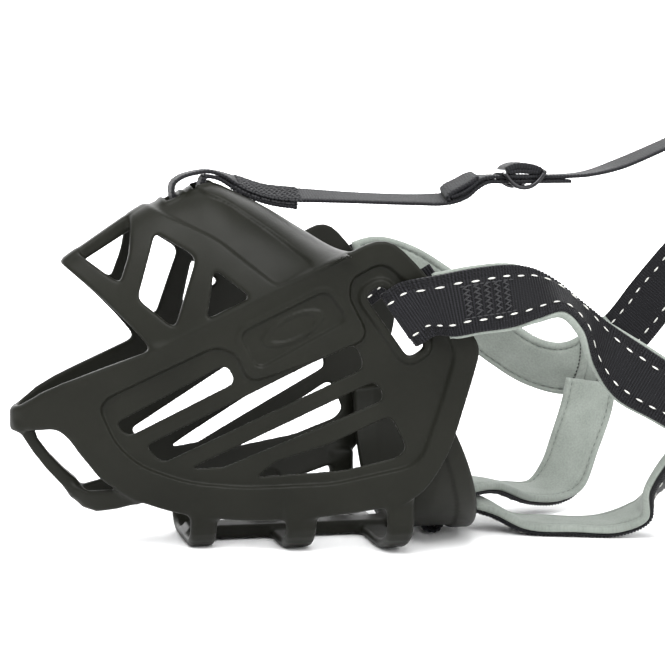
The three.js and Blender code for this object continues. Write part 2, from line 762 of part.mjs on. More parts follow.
// A tri-glide slider round two plies of webbing: two end bars over them and a middle bar under.
function slider({ from, to, bar, inside, side, under, over }) {
  const middle = (from + to) / 2;
  const height = [under - bar, over + bar];
  return joined([
    box([from, to], [-inside - side, -inside], height),
    box([from, to], [inside, inside + side], height),
    box([from, from + bar * 1.4], [-inside - 0.1, inside + 0.1], [over, over + bar]),
    box([to - bar * 1.4, to], [-inside - 0.1, inside + 0.1], [over, over + bar]),
    box([middle - bar * 0.7, middle + bar * 0.7], [-inside - 0.1, inside + 0.1], [
      under - bar,
      under,
    ]),
  ]);
}

const foreheadSlider = slider({
  from: 71,
  to: 87,
  bar: 1.5,
  inside: NARROW_WIDTH / 2 + 0.5,
  side: 1.6,
  under: 118.9 - NARROW / 2 - 0.35,
  over: 120.55 + NARROW / 2 + 0.35,
});
addMesh("forehead_slider", foreheadSlider, steel);

// Everything on the buckle's run is built lying along X, with Z out of the neck loop, and is
// then laid on the run.
const run = new THREE.Group();
run.applyMatrix4(
  new THREE.Matrix4()
    .makeBasis(RUN, RUN_WIDE.clone().negate(), RUN_OUT)
    .setPosition(RUN_START),
);
muzzle.add(run);

const PLY_GAP = 0.4; // between plies and hardware on the run
const ADJUSTER = { from: 19, to: 32, bar: 1.6, room: 0.7, side: 2 };
const TAIL = { from: 16, turn: 64.6, back: 59.2 }; // it turns round the male clip's bar
const TAIL_LOW = WEBBING + PLY_GAP; // its underside, over the neck webbing
const RETURN_LOW = -1.8; // underside of its ply behind the bar
addMesh(
  "neck_adjuster",
  slider({
    from: ADJUSTER.from,
    to: ADJUSTER.to,
    bar: ADJUSTER.bar,
    inside: STRAP_HALF + ADJUSTER.room,
    side: ADJUSTER.side,
    under: -PLY_GAP,
    over: TAIL_LOW + WEBBING + PLY_GAP,
  }),
  plastic,
  run,
);

const MALE = {
  bar: 60.4, // the strap bar, up to the window
  window: 63,
  plate: 67.6, // the solid grip, up to the front
  front: 75.3,
  half: 12.4,
  inside: 10.6,
  rails: [0.2, 3.4],
  grip: [-1, 4.2],
  guide: { tip: 92, half: 2.2 },
};
const PRONG = { root: 75.6, tip: 94, out: 8, thick: 2.2, heights: [0.2, 3], barb: 12.2, head: 9 };
const FEMALE = {
  mouth: 76,
  rear: 99, // front of the strap window
  end: 108,
  bar: 3,
  half: 12.8,
  wall: 1.5,
  heights: [-2.4, 5.4],
  side: { from: 84, to: 95, heights: [-0.6, 3.8] }, // where the prongs snap out
};
const JOIN = 0.1; // overlap of pieces that are joined

const tailWidth = [-STRAP_HALF, STRAP_HALF];
const tailEnd = TAIL.turn + 0.8;
const tail = joined([
  box([TAIL.from, tailEnd], tailWidth, [TAIL_LOW, TAIL_LOW + WEBBING]),
  box([tailEnd - WEBBING, tailEnd], tailWidth, [RETURN_LOW, TAIL_LOW + JOIN]),
  box([TAIL.back, tailEnd], tailWidth, [RETURN_LOW, RETURN_LOW + WEBBING]),
]);
addMesh("buckle_tail_webbing", tail, webbing, run);

const between = [-MALE.inside - JOIN, MALE.inside + JOIN];
const guideWidth = [-MALE.guide.half, MALE.guide.half];
const male = joined([
  box([MALE.bar, MALE.front], [MALE.inside, MALE.half], MALE.rails),
  box([MALE.bar, MALE.front], [-MALE.half, -MALE.inside], MALE.rails),
  box([MALE.bar, MALE.window], between, [MALE.rails[0], 1.6]),
  box([MALE.plate, MALE.front], between, MALE.grip),
  box([MALE.front - JOIN, MALE.guide.tip], guideWidth, PRONG.heights),
]);
addMesh("buckle_male", male, plastic, run);

for (const [name, side] of [["buckle_prong_left", 1], ["buckle_prong_right", -1]]) {
  const { root, tip, out, thick, barb, head } = PRONG;
  const [low, high] = PRONG.heights;
  const shape = outline([
    [root, side * (out - thick), 0],
    [tip - 1, side * (out - thick), 1],
    [tip, side * out, 1],
    [tip - head + 1, side * barb, 0.8],
    [tip - head, side * barb, 0.3],
    [tip - head, side * out, 0.3],
    [root, side * out, 0],
  ]);
  const geometry = new THREE.ExtrudeGeometry(shape, {
    depth: high - low,
    bevelEnabled: false,
    curveSegments: 3,
  });
  geometry.translate(0, 0, low);
  addMesh(name, closed(geometry), plastic, run);
}

function femaleHalf() {
  const { mouth, rear, end, bar, half, wall: skin, side } = FEMALE;
  const [low, high] = FEMALE.heights;
  const cut = 1; // how far a cut runs past the faces it opens
  const cavity = half - skin;
  const window = [-MALE.inside, MALE.inside];
  return box([mouth, end], [-half, half], [low, high])
    .subtract(box([mouth - cut, rear - skin], [-cavity, cavity], [low + skin, high - skin]))
    .subtract(box([side.from, side.to], [-half - cut, half + cut], side.heights))
    .subtract(box([rear, end - bar], window, [low - cut, high + cut]))
    .subtract(box([end - bar - JOIN, end + cut], window, [-0.3, high + cut]));
}
addMesh("buckle_female", geometryOf(femaleHalf()), plastic, run);

export default muzzle;
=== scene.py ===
import json
import math

import bmesh
import bpy
import numpy as np
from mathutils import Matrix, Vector


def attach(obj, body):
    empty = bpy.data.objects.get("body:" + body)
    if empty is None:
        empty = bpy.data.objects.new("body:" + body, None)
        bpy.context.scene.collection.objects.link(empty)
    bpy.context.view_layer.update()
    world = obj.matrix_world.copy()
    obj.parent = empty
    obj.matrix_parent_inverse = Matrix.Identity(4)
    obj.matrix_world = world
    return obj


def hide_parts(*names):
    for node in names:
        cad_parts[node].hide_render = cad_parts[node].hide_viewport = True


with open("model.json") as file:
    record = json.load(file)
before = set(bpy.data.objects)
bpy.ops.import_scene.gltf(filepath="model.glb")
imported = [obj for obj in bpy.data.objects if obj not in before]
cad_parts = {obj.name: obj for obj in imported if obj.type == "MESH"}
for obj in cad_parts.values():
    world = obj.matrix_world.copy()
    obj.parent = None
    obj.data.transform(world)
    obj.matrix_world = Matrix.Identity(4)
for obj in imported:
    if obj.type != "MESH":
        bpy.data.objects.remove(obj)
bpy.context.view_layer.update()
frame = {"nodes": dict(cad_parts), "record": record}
MM = 0.001
ROOT = "muzzle"


def add_object(name, data):
    thing = bpy.data.objects.new(name, data)
    bpy.context.scene.collection.objects.link(thing)
    return thing


# ---- camera, light and floor ----
AZIMUTH, ELEVATION, DISTANCE = math.radians(-12), math.radians(6), 0.8
TARGET = Vector((0.014, 0, 0.0685))
camera = add_object("camera", bpy.data.cameras.new("camera"))
camera.data.sensor_width = 36
camera.data.lens = 128.5
camera.data.clip_start = 0.05
camera.data.clip_end = 50
level = math.cos(ELEVATION)
back = Vector((math.sin(AZIMUTH) * level, -math.cos(AZIMUTH) * level, math.sin(ELEVATION)))
camera.location = TARGET + back * DISTANCE
camera.rotation_euler = (-back).to_track_quat("-Z", "Y").to_euler()
bpy.context.scene.camera = camera
bpy.context.scene.view_settings.view_transform = "Standard"


def area_light(name, position, target, size, power):
    data = bpy.data.lights.new(name, "AREA")
    data.shape = "RECTANGLE"
    data.size, data.size_y = size
    data.energy = power
    light = add_object(name, data)
    light.location = position
    light.rotation_euler = (Vector(target) - Vector(position)).to_track_quat("-Z", "Y").to_euler()


area_light("key", (-0.5, -0.9, 1.3), (0, 0, 0.05), (1.1, 1.1), 38)
area_light("fill", (0.9, -1.0, 0.7), (0.05, 0, 0.05), (1.0, 1.0), 14)
area_light("rim", (0.1, 0.9, 1.1), (0, 0, 0.06), (1.2, 0.7), 12)
area_light("backdrop", (0, 1.1, 1.5), (0, 2.6, 0.5), (3, 0.8), 90)
world = bpy.data.worlds.new("studio")
bpy.context.scene.world = world
world.use_nodes = True
sky = world.node_tree.nodes["Background"]
sky.inputs["Color"].default_value = (0.93, 0.94, 0.95, 1)
sky.inputs["Strength"].default_value = 1.12


# ---- materials ----
class Nodes:
    """A material's node tree, with short calls for adding and joining nodes."""

    def __init__(self, name, colour, roughness, **sockets):
        self.material = bpy.data.materials.new(name)
        self.material.use_nodes = True
        self.tree = self.material.node_tree
        self.shader = self.tree.nodes["Principled BSDF"]
        self.shader.inputs["Base Color"].default_value = (*colour, 1)
        self.shader.inputs["Roughness"].default_value = roughness
        for socket, value in sockets.items():
            self.shader.inputs[socket.replace("_", " ")].default_value = value

    def add(self, kind, settings=None, **inputs):
        node = self.tree.nodes.new("ShaderNode" + kind)
        for key, value in (settings or {}).items():
            setattr(node, key, value)
        for key, value in inputs.items():
            self.put(node, key.replace("_", " "), value)
        return node

    def put(self, node, socket, value):
        inputs = node.inputs
        target = inputs[int(socket[1:])] if socket[1:].isdigit() else inputs[socket]
        if isinstance(value, bpy.types.Node):
            value = value.outputs[0]
        if isinstance(value, bpy.types.NodeSocket):
            self.tree.links.new(value, target)
        else:
            target.default_value = value

    def maths(self, operation, a, b=0.0, c=0.0):
        node = self.add("Math", {"operation": operation})
        for socket, value in enumerate((a, b, c)):
            self.put(node, f"#{socket}", value)
        return node.outputs[0]

    def noise(self, scale, detail=2.0, coordinates=None):
        node = self.add("TexNoise", Scale=scale, Detail=detail)
        if coordinates is not None:
            self.put(node, "Vector", coordinates)
        return node.outputs["Fac"]

    def ramp(self, factor, stops):
        node = self.add("ValToRGB")
        self.put(node, "Fac", factor)
        elements = node.color_ramp.elements
        while len(elements) < len(stops):
            elements.new(0.5)
        for element, (place, colour) in zip(elements, stops):
            element.position = place
            element.color = (*colour, 1)
        return node.outputs["Color"]

    def bump(self, height, distance, strength=1.0, normal=None):
        node = self.add("Bump", Strength=strength, Distance=distance)
        self.put(node, "Height", height)
        if normal is not None:
            self.put(node, "Normal", normal)
        return node.outputs["Normal"]

    def object_place(self):
        return self.add("TexCoord").outputs["Object"]

    def finished(self, **sockets):
        for socket, value in sockets.items():
            self.put(self.shader, socket.replace("_", " "), value)
        return self.material


def silicone_material():
    m = Nodes("silicone", (0.04, 0.04, 0.034), 0.5, Specular_IOR_Level=0.1)
    place = m.object_place()
    cloudy = m.noise(28, 3, place)
    shade = m.ramp(cloudy, [(0.3, (0.0056, 0.0058, 0.0041)), (0.7, (0.0088, 0.009, 0.0066))])
    smear = m.maths("MULTIPLY_ADD", m.noise(90, 4, place), 0.16, 0.36)
    soft = m.bump(m.noise(240, 2, place), 0.00015, 0.25)
    grain = m.bump(m.noise(1900, 2, place), 0.00006, 0.45, soft)
    return m.finished(Base_Color=shade, Roughness=smear, Normal=grain)


silicone = silicone_material()

# ---- signed distances on a grid ----
def smooth_step(low, high, value):
    t = np.clip((value - low) / (high - low), 0, 1)
    return t * t * (3 - 2 * t)


def blend_min(a, b, width):
    """The union of two solids, with a fillet of about that width."""
    h = np.maximum(width - np.abs(a - b), 0) / width
    return np.minimum(a, b) - h * h * width * 0.25


def meet(radius, *sides):
    """Where all sides are negative, with the edges between them rounded to radius."""
    worst = sides[0] + radius
    outside = np.maximum(sides[0] + radius, 0) ** 2
    for side in sides[1:]:
        worst = np.maximum(worst, side + radius)
        outside = outside + np.maximum(side + radius, 0) ** 2
    return np.minimum(worst, 0) + np.sqrt(outside) - radius


def rounded(corners, steps=5):
    """A closed outline through corners (x, y, radius), each corner rounded to its radius."""
    points = np.array([c[:2] for c in corners], float)
    result = []
    for i, corner in enumerate(corners):
        here, before, after = points[i], points[i - 1], points[(i + 1) % len(points)]
        to_before, to_after = before - here, after - here
        lengths = np.linalg.norm(to_before), np.linalg.norm(to_after)
        cut = min(corner[2] if len(corner) > 2 else 0, lengths[0] * 0.45, lengths[1] * 0.45)
        if cut <= 0:
            result.append(here)
            continue
        start = here + to_before / lengths[0] * cut
        end = here + to_after / lengths[1] * cut
        for t in np.linspace(0, 1, steps):
            result.append(start * (1 - t) ** 2 + here * 2 * t * (1 - t) + end * t * t)
    return np.array(result)


def path_distance(points, u, v):
    """Distance from points (u, v) to an open path."""
    nearest = np.full(np.broadcast(u, v).shape, np.inf)
    for (ax, ay), (bx, by) in zip(points[:-1], points[1:]):
        ex, ey = bx - ax, by - ay
        length = ex * ex + ey * ey
        if length > 1e-12:
            t = np.clip(((u - ax) * ex + (v - ay) * ey) / length, 0, 1)
            nearest = np.minimum(nearest, (u - ax - ex * t) ** 2 + (v - ay - ey * t) ** 2)
    return np.sqrt(nearest)


def outline_distance(corners, u, v, stretch=1.0):
    """Distance from points (u, v) to an outline, negative inside. u is stretched on both."""
    points = rounded(corners) * (stretch, 1)
    loop = np.vstack([points, points[:1]])
    u = u * stretch
    inside = np.zeros(np.broadcast(u, v).shape, bool)
    for (ax, ay), (bx, by) in zip(loop[:-1], loop[1:]):
        if ay != by:
            crossing = (ay > v) != (by > v)
            inside ^= crossing & (u < ax + (v - ay) * (bx - ax) / (by - ay))
    distance = path_distance(loop, u, v)
    return np.where(inside, -distance, distance)


CORNERS = [(i, j, k) for i in (0, 1) for j in (0, 1) for k in (0, 1)]


def surface_of(field, origin, step):
    """The surface where a field on a grid is zero, as vertices and quads facing out."""
    inside = field < 0
    shape = np.array(field.shape) - 1

    def corner(array, c):
        return array[tuple(slice(o, o + n) for o, n in zip(c, shape))]

    count = sum(corner(inside, c).astype(np.int8) for c in CORNERS)
    mixed = (count > 0) & (count < 8)
    cells = np.argwhere(mixed)
    ids = np.full(mixed.shape, -1, np.int64)
    ids[mixed] = np.arange(len(cells))
    total = np.zeros((len(cells), 3))
    crossings = np.zeros(len(cells))
    values = {c: field[tuple((cells + c).T)] for c in CORNERS}
    for a in CORNERS:
        for axis in range(3):
            if a[axis]:
                continue
            b = tuple(1 if i == axis else a[i] for i in range(3))
            cross = (values[a] < 0) != (values[b] < 0)
            t = values[a][cross] / (values[a][cross] - values[b][cross])
            place = np.tile(np.array(a, float), (int(cross.sum()), 1))
            place[:, axis] += t
            total[cross] += place
            crossings[cross] += 1
    vertices = cells + total / crossings[:, None]
    quads = []
    for axis in range(3):
        sides = [i for i in range(3) if i != axis]
        edges = np.argwhere(np.diff(inside, axis=axis))
        places = edges[:, sides]
        edges = edges[((places > 0) & (places < shape[sides])).all(axis=1)]
        one, two = np.eye(3, dtype=int)[sides]
        cells_round = [edges - one - two, edges - two, edges, edges - one]
        quad = np.stack([ids[tuple(cell.T)] for cell in cells_round], 1)
        leaving = inside[tuple(edges.T)]
        if axis == 1:
            leaving = ~leaving
        quad[~leaving] = quad[~leaving][:, ::-1]
        quads.append(quad)
    # Each vertex is moved onto the surface along the field's slope.
    slopes = np.gradient(field)
    for _ in range(2):
        value = sample(field, vertices)
        slope = np.stack([sample(s, vertices) for s in slopes], 1)
        scale = np.maximum((slope**2).sum(1), 1e-6)
        move = -slope * (value / scale)[:, None]
        vertices += np.clip(move, -0.5, 0.5)
    return vertices * step + origin, np.concatenate(quads)


def sample(field, places):
    base = np.clip(np.floor(places).astype(int), 0, np.array(field.shape) - 2)
    part = places - base
    result = 0
    for c in CORNERS:
        weight = np.prod(np.where(np.array(c), part, 1 - part), axis=1)
        result = result + weight * field[tuple((base + c).T)]
    return result


def link(name, vertices, faces, material, body):
    """A mesh object from vertices in millimetres, riding on a body."""
    mesh = bpy.data.meshes.new(name)
    vertices = np.asarray(vertices, float) * MM
    faces = np.asarray(faces)
    mesh.vertices.add(len(vertices))
    mesh.vertices.foreach_set("co", vertices.ravel().astype(np.float32))
    sides = faces.shape[1]
    mesh.loops.add(faces.size)
    mesh.loops.foreach_set("vertex_index", faces.ravel().astype(np.int32))
    mesh.polygons.add(len(faces))
    mesh.polygons.foreach_set("loop_start", np.arange(0, faces.size, sides, dtype=np.int32))
    mesh.update(calc_edges=True)
    mesh.shade_smooth()
    mesh.materials.append(material)
    thing = add_object(name, mesh)
    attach(thing, body)
    return thing


def merged(groups):
    """The vertices and faces of several pieces as one piece."""
    starts = np.cumsum([0] + [len(vertices) for vertices, _ in groups])
    faces = [faces + start for (_, faces), start in zip(groups, starts)]
    return np.vstack([vertices for vertices, _ in groups]), np.vstack(faces)


def tube_faces(rings, sides):
    """The faces of a closed tube from rings of vertices, its ends closed by strips of quads."""
    ids = np.arange(rings * sides).reshape(rings, sides)
    ahead = np.roll(ids, -1, 1)
    faces = [np.stack([ids[:-1], ids[1:], ahead[1:], ahead[:-1]], -1).reshape(-1, 4)]
    for loop in (ids[0], ids[-1][::-1]):
        strips = range(sides // 2 - 1)
        faces.append([[loop[i], loop[i + 1], loop[-2 - i], loop[-1 - i]] for i in strips])
    return np.vstack(faces)


def around(sides):
    return np.linspace(0, 2 * math.pi, sides, endpoint=False)


# ---- the basket ----
STEP = 0.6  # of the grid
LOW, HIGH = np.array((-98.4, 0, -1.2)), np.array((63.6, 64.2, 125.4))
xs, ys, zs = (np.arange(a, b + STEP / 2, STEP) for a, b in zip(LOW, HIGH))
X, Y, Z = xs[:, None, None], ys[None, :, None], zs[None, None, :]
X_SIDE, Z_SIDE = xs[:, None], zs[None, :]  # seen from the side
X_PLAN, Y_PLAN = xs[:, None], ys[None, :]  # seen from above
Y_END, Z_END = ys[:, None], zs[None, :]  # seen along the snout

WALL = 3.0
NOSE_X = -94.5
HALF_WIDTH = 41.3  # of the basket where x is 0
WIDENING = 0.36  # mm of half width per mm towards the rear
WALL_STRETCH = 1.063  # mm along a side wall per mm of x
CURL_FROM = 40  # below this height the side walls curl inwards


def side_view(values):
    return values[:, None, :]


def side_outline(corners, stretch=1.0):
    return outline_distance(corners, X_SIDE, Z_SIDE, stretch)


def rounded_front(square, tip):
    """Depth from a wall that is a parabola seen from above: y * y = square * (x - tip)."""
    return (Y**2 / square - (X - tip)) / np.sqrt(1 + (2 * Y / square) ** 2)


# Depth from the outer face of the side walls and the rounded nose, positive outside.
below = np.maximum(0, CURL_FROM - Z_SIDE)
bend = 10 * (below / CURL_FROM) ** 2
width = HALF_WIDTH + WIDENING * X_SIDE - bend
steep = 1 / np.sqrt(1 + WIDENING**2 + (20 / CURL_FROM**2 * below) ** 2)
straight_depth = (Y - side_view(width)) * side_view(steep + 0 * X_SIDE)
tip_x = NOSE_X + 0.9 * bend
square = (16.58 * (1 - bend / 16.6)) ** 2 / (24.5 - 0.9 * bend)
nose_depth = rounded_front(side_view(square), side_view(tip_x))
towards_rear = smooth_step(-76, -62, X)
depth = nose_depth * (1 - towards_rear) + straight_depth * towards_rear

SIDE = [
    (-115, 46.2), (-94.5, 46.4), (-91.5, 47.4), (-88.1, 49.6), (-85, 51.8), (-78.8, 54.9),
    (-70, 58.5), (-49.6, 66.6), (-21.7, 81.3), (5, 95.9), (21.5, 104.4, 9), (32.4, 92.9, 6),
    (49.8, 69.4, 9), (47.7, 60.5, 8), (40.4, 34.4, 9), (31.5, 18.4, 9), (5.9, 12.6, 8),
    (-20, 9.9, 10), (-42, 12.2, 8), (-55.7, 16.7, 4), (-66.4, 23.4, 3), (-70.3, 28.6, 2),
    (-73.1, 32, 2), (-76, 36.4, 4), (-80, 40, 5), (-87.9, 39.2, 4), (-91.5, 38.6), (-95, 38.4),
    (-115, 38.2),
]  # fmt: skip
AIR_SLOTS = [
    [(-61.5, 42, 2.2), (-27.2, 61.9, 2.6), (-24.4, 56.4, 2.6), (-57.4, 38.2, 2.6)],
    [(-52, 34.8, 2), (12, 69.8, 4), (15, 61.8, 3), (-46.9, 29.6, 2.4)],
    [(-37.4, 27.9, 1.2), (-33.6, 30.1, 2), (18.4, 57.4, 3), (21.2, 51.8, 3), (-28, 28.6, 1.5)],
    [(-17.2, 25.6, 1), (-11.7, 30.6, 2), (4.9, 36.9, 0), (23, 46.4, 3), (27.6, 36, 3), (25, 33, 2),
     (8.7, 28.4, 2)],
]
STRAP_SLOT = [(14.9, 84.9, 2.4), (20.2, 88.5, 2.4), (33.3, 68.9, 2.4), (28, 65.2, 2.4)]
RECESS = [
    (-66.6, 47, 4), (-64.2, 50.6, 5), (-30.6, 67.9, 6), (-24, 65.6, 5), (-20.6, 56.2, 5),
    (5, 65.6, 2), (16.4, 71.6, 5), (10.2, 84, 2), (10.6, 90.2, 5), (20.4, 95.9, 6),
    (27.2, 89.4, 3), (42.6, 68.6, 6), (37.6, 50.2, 4), (31.4, 30.8, 6), (5.3, 23.8, 4),
    (-21.8, 21.8, 6), (-39, 23, 6), (-54, 28.2, 6), (-62, 35.6, 6),
]  # fmt: skip
PLATE = [(-23.5, 72.3, 3.4), (3.2, 86.7, 3.4), (9.7, 77.2, 3.4), (-17.9, 60.6, 3.4)]

edge = side_outline(SIDE, WALL_STRETCH)
for hole in AIR_SLOTS:
    edge = np.maximum(edge, -side_outline(hole, WALL_STRETCH))
strap_hole = side_outline(STRAP_SLOT, WALL_STRETCH)
edge = np.maximum(edge, -strap_hole)
recess = side_outline(RECESS, WALL_STRETCH)
plate = side_outline(PLATE, WALL_STRETCH)
relief = -1.7 * smooth_step(0.55, -0.55, recess)
relief = relief + 1.2 * smooth_step(3.3, 2.1, strap_hole)
relief = relief - 0.8 * smooth_step(0.4, -0.4, plate)
relief = relief + 0.35 * smooth_step(1.4, 0.7, np.abs(plate - 0.9))
# A plain oval ring in the middle of the plate, along its long sides.
OVAL_X, OVAL_Z, OVAL_LONG, OVAL_SHORT = -7.1, 74.2, 9.5, 3.6
plate_u, plate_v = (X_SIDE - OVAL_X) * WALL_STRETCH, Z_SIDE - OVAL_Z
tilt = math.atan2(PLATE[1][1] - PLATE[0][1], (PLATE[1][0] - PLATE[0][0]) * WALL_STRETCH)
oval_u = plate_u * math.cos(tilt) + plate_v * math.sin(tilt)
oval_v = -plate_u * math.sin(tilt) + plate_v * math.cos(tilt)
oval = (np.sqrt((oval_u / OVAL_LONG) ** 2 + (oval_v / OVAL_SHORT) ** 2) - 1) * OVAL_SHORT
relief = relief + 0.6 * smooth_step(0.75, 0.35, np.abs(oval))
edge_radius = 0.85 + 0.65 * smooth_step(-62, -84, X)
wall = np.maximum(depth - side_view(relief), -WALL - depth)
walls = meet(edge_radius, side_view(edge), wall)

# The low wall round the chin, and the bar from the nose down to it.
CHIN_X, CHIN_LEAN = -75.3, 0.3  # its front at the lean's middle, and x per mm down from there
chin_depth = rounded_front(15.6**2 / 18.5, CHIN_X - CHIN_LEAN * (Z - 15.5))
CHIN = [
    (-77, 21), (-75.6, 18.5), (-74.6, 15.9), (-71.4, 13), (-67.1, 11.9), (-60.9, 13.2),
    (-54.4, 15.3), (-54.4, 19.5), (-63.4, 19.5), (-69.7, 18.8), (-72, 19.8),
]  # fmt: skip
chin_front = meet(1.4, np.abs(chin_depth + 1.8) - 1.9, side_view(side_outline(CHIN)))
NOSE_BAR = [
    (-92.4, 41), (-90.4, 36.6), (-87.3, 31.6), (-83, 25.9), (-78.2, 20.6), (-74.9, 16.8),
    (-71.5, 18.5), (-73, 22.1), (-77.4, 26), (-82, 31), (-85.6, 36), (-87.2, 41),
]  # fmt: skip
nose_bar = meet(1.2, side_view(side_outline(NOSE_BAR)), Y - 4.6)

# The strips under the chin, the rail that joins them, and the smooth band at the rear.
def between(low, high, value):
    """Negative between low and high."""
    return np.abs(value - (low + high) / 2) - (high - low) / 2


def chin_strip(from_x, to_x, half_top, half_flat, top):
    """A strip across, from one side wall to the other: flat, then a quarter ellipse, then up."""
    middle = 1.6  # half its thickness
    path = [(0, middle)]
    for angle in np.radians(np.arange(0, 91, 15)):
        y = half_flat - 3 + (half_top + 1.4 - half_flat) * math.sin(angle)
        path.append((y, middle + 9.5 * (1 - math.cos(angle))))
    path.append((half_top - middle, top))
    across = path_distance(path, Y_END, Z_END)[None] - middle
    return meet(1.5, across, between(from_x, to_x, X))


strips = [
    chin_strip(-38, -29.2, half_top=23.9, half_flat=15, top=14),
    chin_strip(-8.4, 1.6, half_top=35.2, half_flat=22, top=14.5),
    chin_strip(22.4, 31.2, half_top=46.9, half_flat=27, top=20),
]
rail = meet(1.0, np.abs(Z - 2.9) - 2.2, Y - 6, -36 - X, X - 34)

BAND_HALF, BAND_HEIGHT, BAND_TOP = 51.6, 42.0, 44.4
BAND_FRONT_X, BAND_FULL_X = 31.5, 39.3
BAND_MIDDLE = 1.5  # from the band's faces to its middle
band_half = BAND_HALF - BAND_MIDDLE - WIDENING * np.maximum(BAND_FULL_X - X, 0)
drop = (BAND_TOP - Z) / (BAND_HEIGHT - BAND_MIDDLE)
scaled = np.sqrt((Y / band_half) ** 2 + drop**2)
slope_y = Y / band_half**2 / np.maximum(scaled, 0.05)
slope_z = drop / (BAND_HEIGHT - BAND_MIDDLE) / np.maximum(scaled, 0.05)
band_depth = (scaled - 1) / np.maximum(np.hypot(slope_y, slope_z), 1e-3)
band_angle = np.degrees(np.arctan2(Y / band_half, drop))
band_rear = 59 - 15.5 * (band_angle / 85) ** 2
lip = 0.9 * smooth_step(-7.4, -6.2, X - band_rear)
THROAT_SLOTS = [(41.6, 44.8), (48.6, 52)]
band = meet(
    1.3, np.maximum(band_depth - BAND_MIDDLE - lip, -band_depth - BAND_MIDDLE),
    X - band_rear, BAND_FRONT_X - X, Z - 43.5,
)  # fmt: skip
for low, high in THROAT_SLOTS:
    band = np.maximum(band, -meet(0.8, between(low, high, X), Y - 11.4, Z - 20))

# The arched cap over the nose.
RIDGE = [(-84, 89.6), (-80, 92.4), (-49, 113.2), (-28.5, 120.8), (-9.8, 111.7), (5, 102.2),
         (18, 92.5), (70, 54)]
ridge = sum(np.interp(xs + d, *zip(*RIDGE)) for d in (-4, -2, 0, 2, 4)) / 5
CREASE_HEIGHT, CREASE_SLOPE = 93.6, 0.544  # where the cap meets the side walls
crease = CREASE_HEIGHT + CREASE_SLOPE * xs
half = HALF_WIDTH + WIDENING * xs
half = np.where(xs > -60, half, 3.35 * np.sqrt(np.maximum(xs - NOSE_X, 6)))
share = (Y_PLAN / half[:, None]) ** (1 / 0.85)
cap_z = crease[:, None] + (ridge - crease)[:, None] * (1 - share**2.4)
slope_along, slope_over = np.gradient(cap_z, STEP)
cap_steep = np.sqrt(1 + slope_along**2 + np.minimum(slope_over**2, 30))
cap_depth = (Z - cap_z[:, :, None]) / cap_steep[:, :, None]
CAP = [
    (-50.3, 66.4, 3), (-56, 73.4, 6), (-66, 83.6, 6), (-77.2, 93.4, 2), (-84, 104), (-84, 140),
    (60, 140), (19, 80), (9, 70), (-30, 60),
]  # fmt: skip
CAP_WINDOWS = [
    [(-71.6, 96.6, 1.5), (-73, 106, 0), (-55, 120, 0), (-54.9, 107, 2), (-56, 97, 3),
     (-59.2, 88, 2.6), (-61.6, 89, 2)],
    [(-47.7, 103.8, 2.4), (-35.4, 96.3, 3), (-43, 73.4, 2.8), (-54.1, 82.7, 2.4)],
    [(-30.2, 92.4, 2.2), (-19.6, 83.8, 2.4), (-33.2, 76.6, 2.2)],
]
cap_edge = side_outline(CAP)
cap_holes = np.minimum.reduce([side_outline(w) for w in CAP_WINDOWS])
cap_edge = np.maximum(cap_edge, -cap_holes)
FIELD = [
    (-52, 115, 0), (-43.8, 109.4, 2), (-29, 102.2, 4), (-11.3, 87.3, 3), (0.3, 94.1, 3),
    (-10.5, 103.6, 4), (-24.5, 113.9, 6), (-32.8, 117, 4), (-38, 124, 0),
]  # fmt: skip
field = side_outline(FIELD)
CAP_SLOTS = [(-43.2, -38.2), (-34, -29)]
cap_slots = np.minimum.reduce([
    outline_distance([(a, -7, 1.5), (b, -7, 1.5), (b, 7, 1.5), (a, 7, 1.5)], X_PLAN, Y_PLAN)
    for a, b in CAP_SLOTS
])  # fmt: skip
slot_lips = 0.6 * smooth_step(2.2, 1.0, cap_slots)
cap_relief = side_view(-0.9 * smooth_step(0.6, -0.6, field)) + slot_lips[:, :, None]
cap_wall = np.maximum(cap_depth - cap_relief, -WALL - cap_depth)
cap_end = X - (18.5 - 9 * np.clip(Y / 45, 0, 1) ** 1.5)
cap_foot = (crease[:, None, None] - 1.2 - Z) * 0.87
cap = meet(0.8, side_view(cap_edge), cap_wall, cap_end, cap_foot)
cap = np.maximum(cap, -meet(0.5, cap_slots[:, :, None], 100 - Z))
NOSE_CENTRE_BAR = [(-76, 95), (-74, 96.6), (-57, 108.2), (-50, 112), (-50, 106.5), (-55, 103.6),
                   (-70.4, 93.9), (-74, 92)]
centre_bar = meet(1.2, side_view(side_outline(NOSE_CENTRE_BAR)), Y - 2.9)

solid = blend_min(walls, cap, 1.2 + 2.2 * smooth_step(-44, -52, X))
others = [(centre_bar, 1.5), (nose_bar, 2.5), (chin_front, 3), (rail, 1.5)]
others += [(strip, 2.5) for strip in strips] + [(band, 2.0)]
for other, fillet in others:
    solid = blend_min(solid, other, fillet)
whole = np.concatenate([solid[:, :0:-1], solid], axis=1).astype(np.float32)
vertices, quads = surface_of(whole, np.array((xs[0], -ys[-1], zs[0])), STEP)
basket = link("silicone_basket", vertices, quads, silicone, ROOT)
subparts = frame["record"]["subparts"]
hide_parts(*(part["node"] for part in subparts if part["material_slot"] == "silicone"))

# ---- straps: routes ----
# A strap's route is a list of pairs, its upper edge and its lower edge, as the CAD has them. Seen
# along it, its normal is the way along crossed with the way from the upper edge to the lower.
STRAP = 20.0  # width of the webbing
WEBBING = 1.6  # its thickness
GAP = 0.3  # between webbing and lining
LINING = 2.5  # thickness of the lining
OVERHANG = 0.8  # how far the lining stands out past the webbing
SLOT_X, SLOT_Z = 23.3, 76.3  # the middle of the side panel's strap slot
SLOT_RUN = (0.833, 0.552)  # the way the strap leaves it towards the rear, in x and z


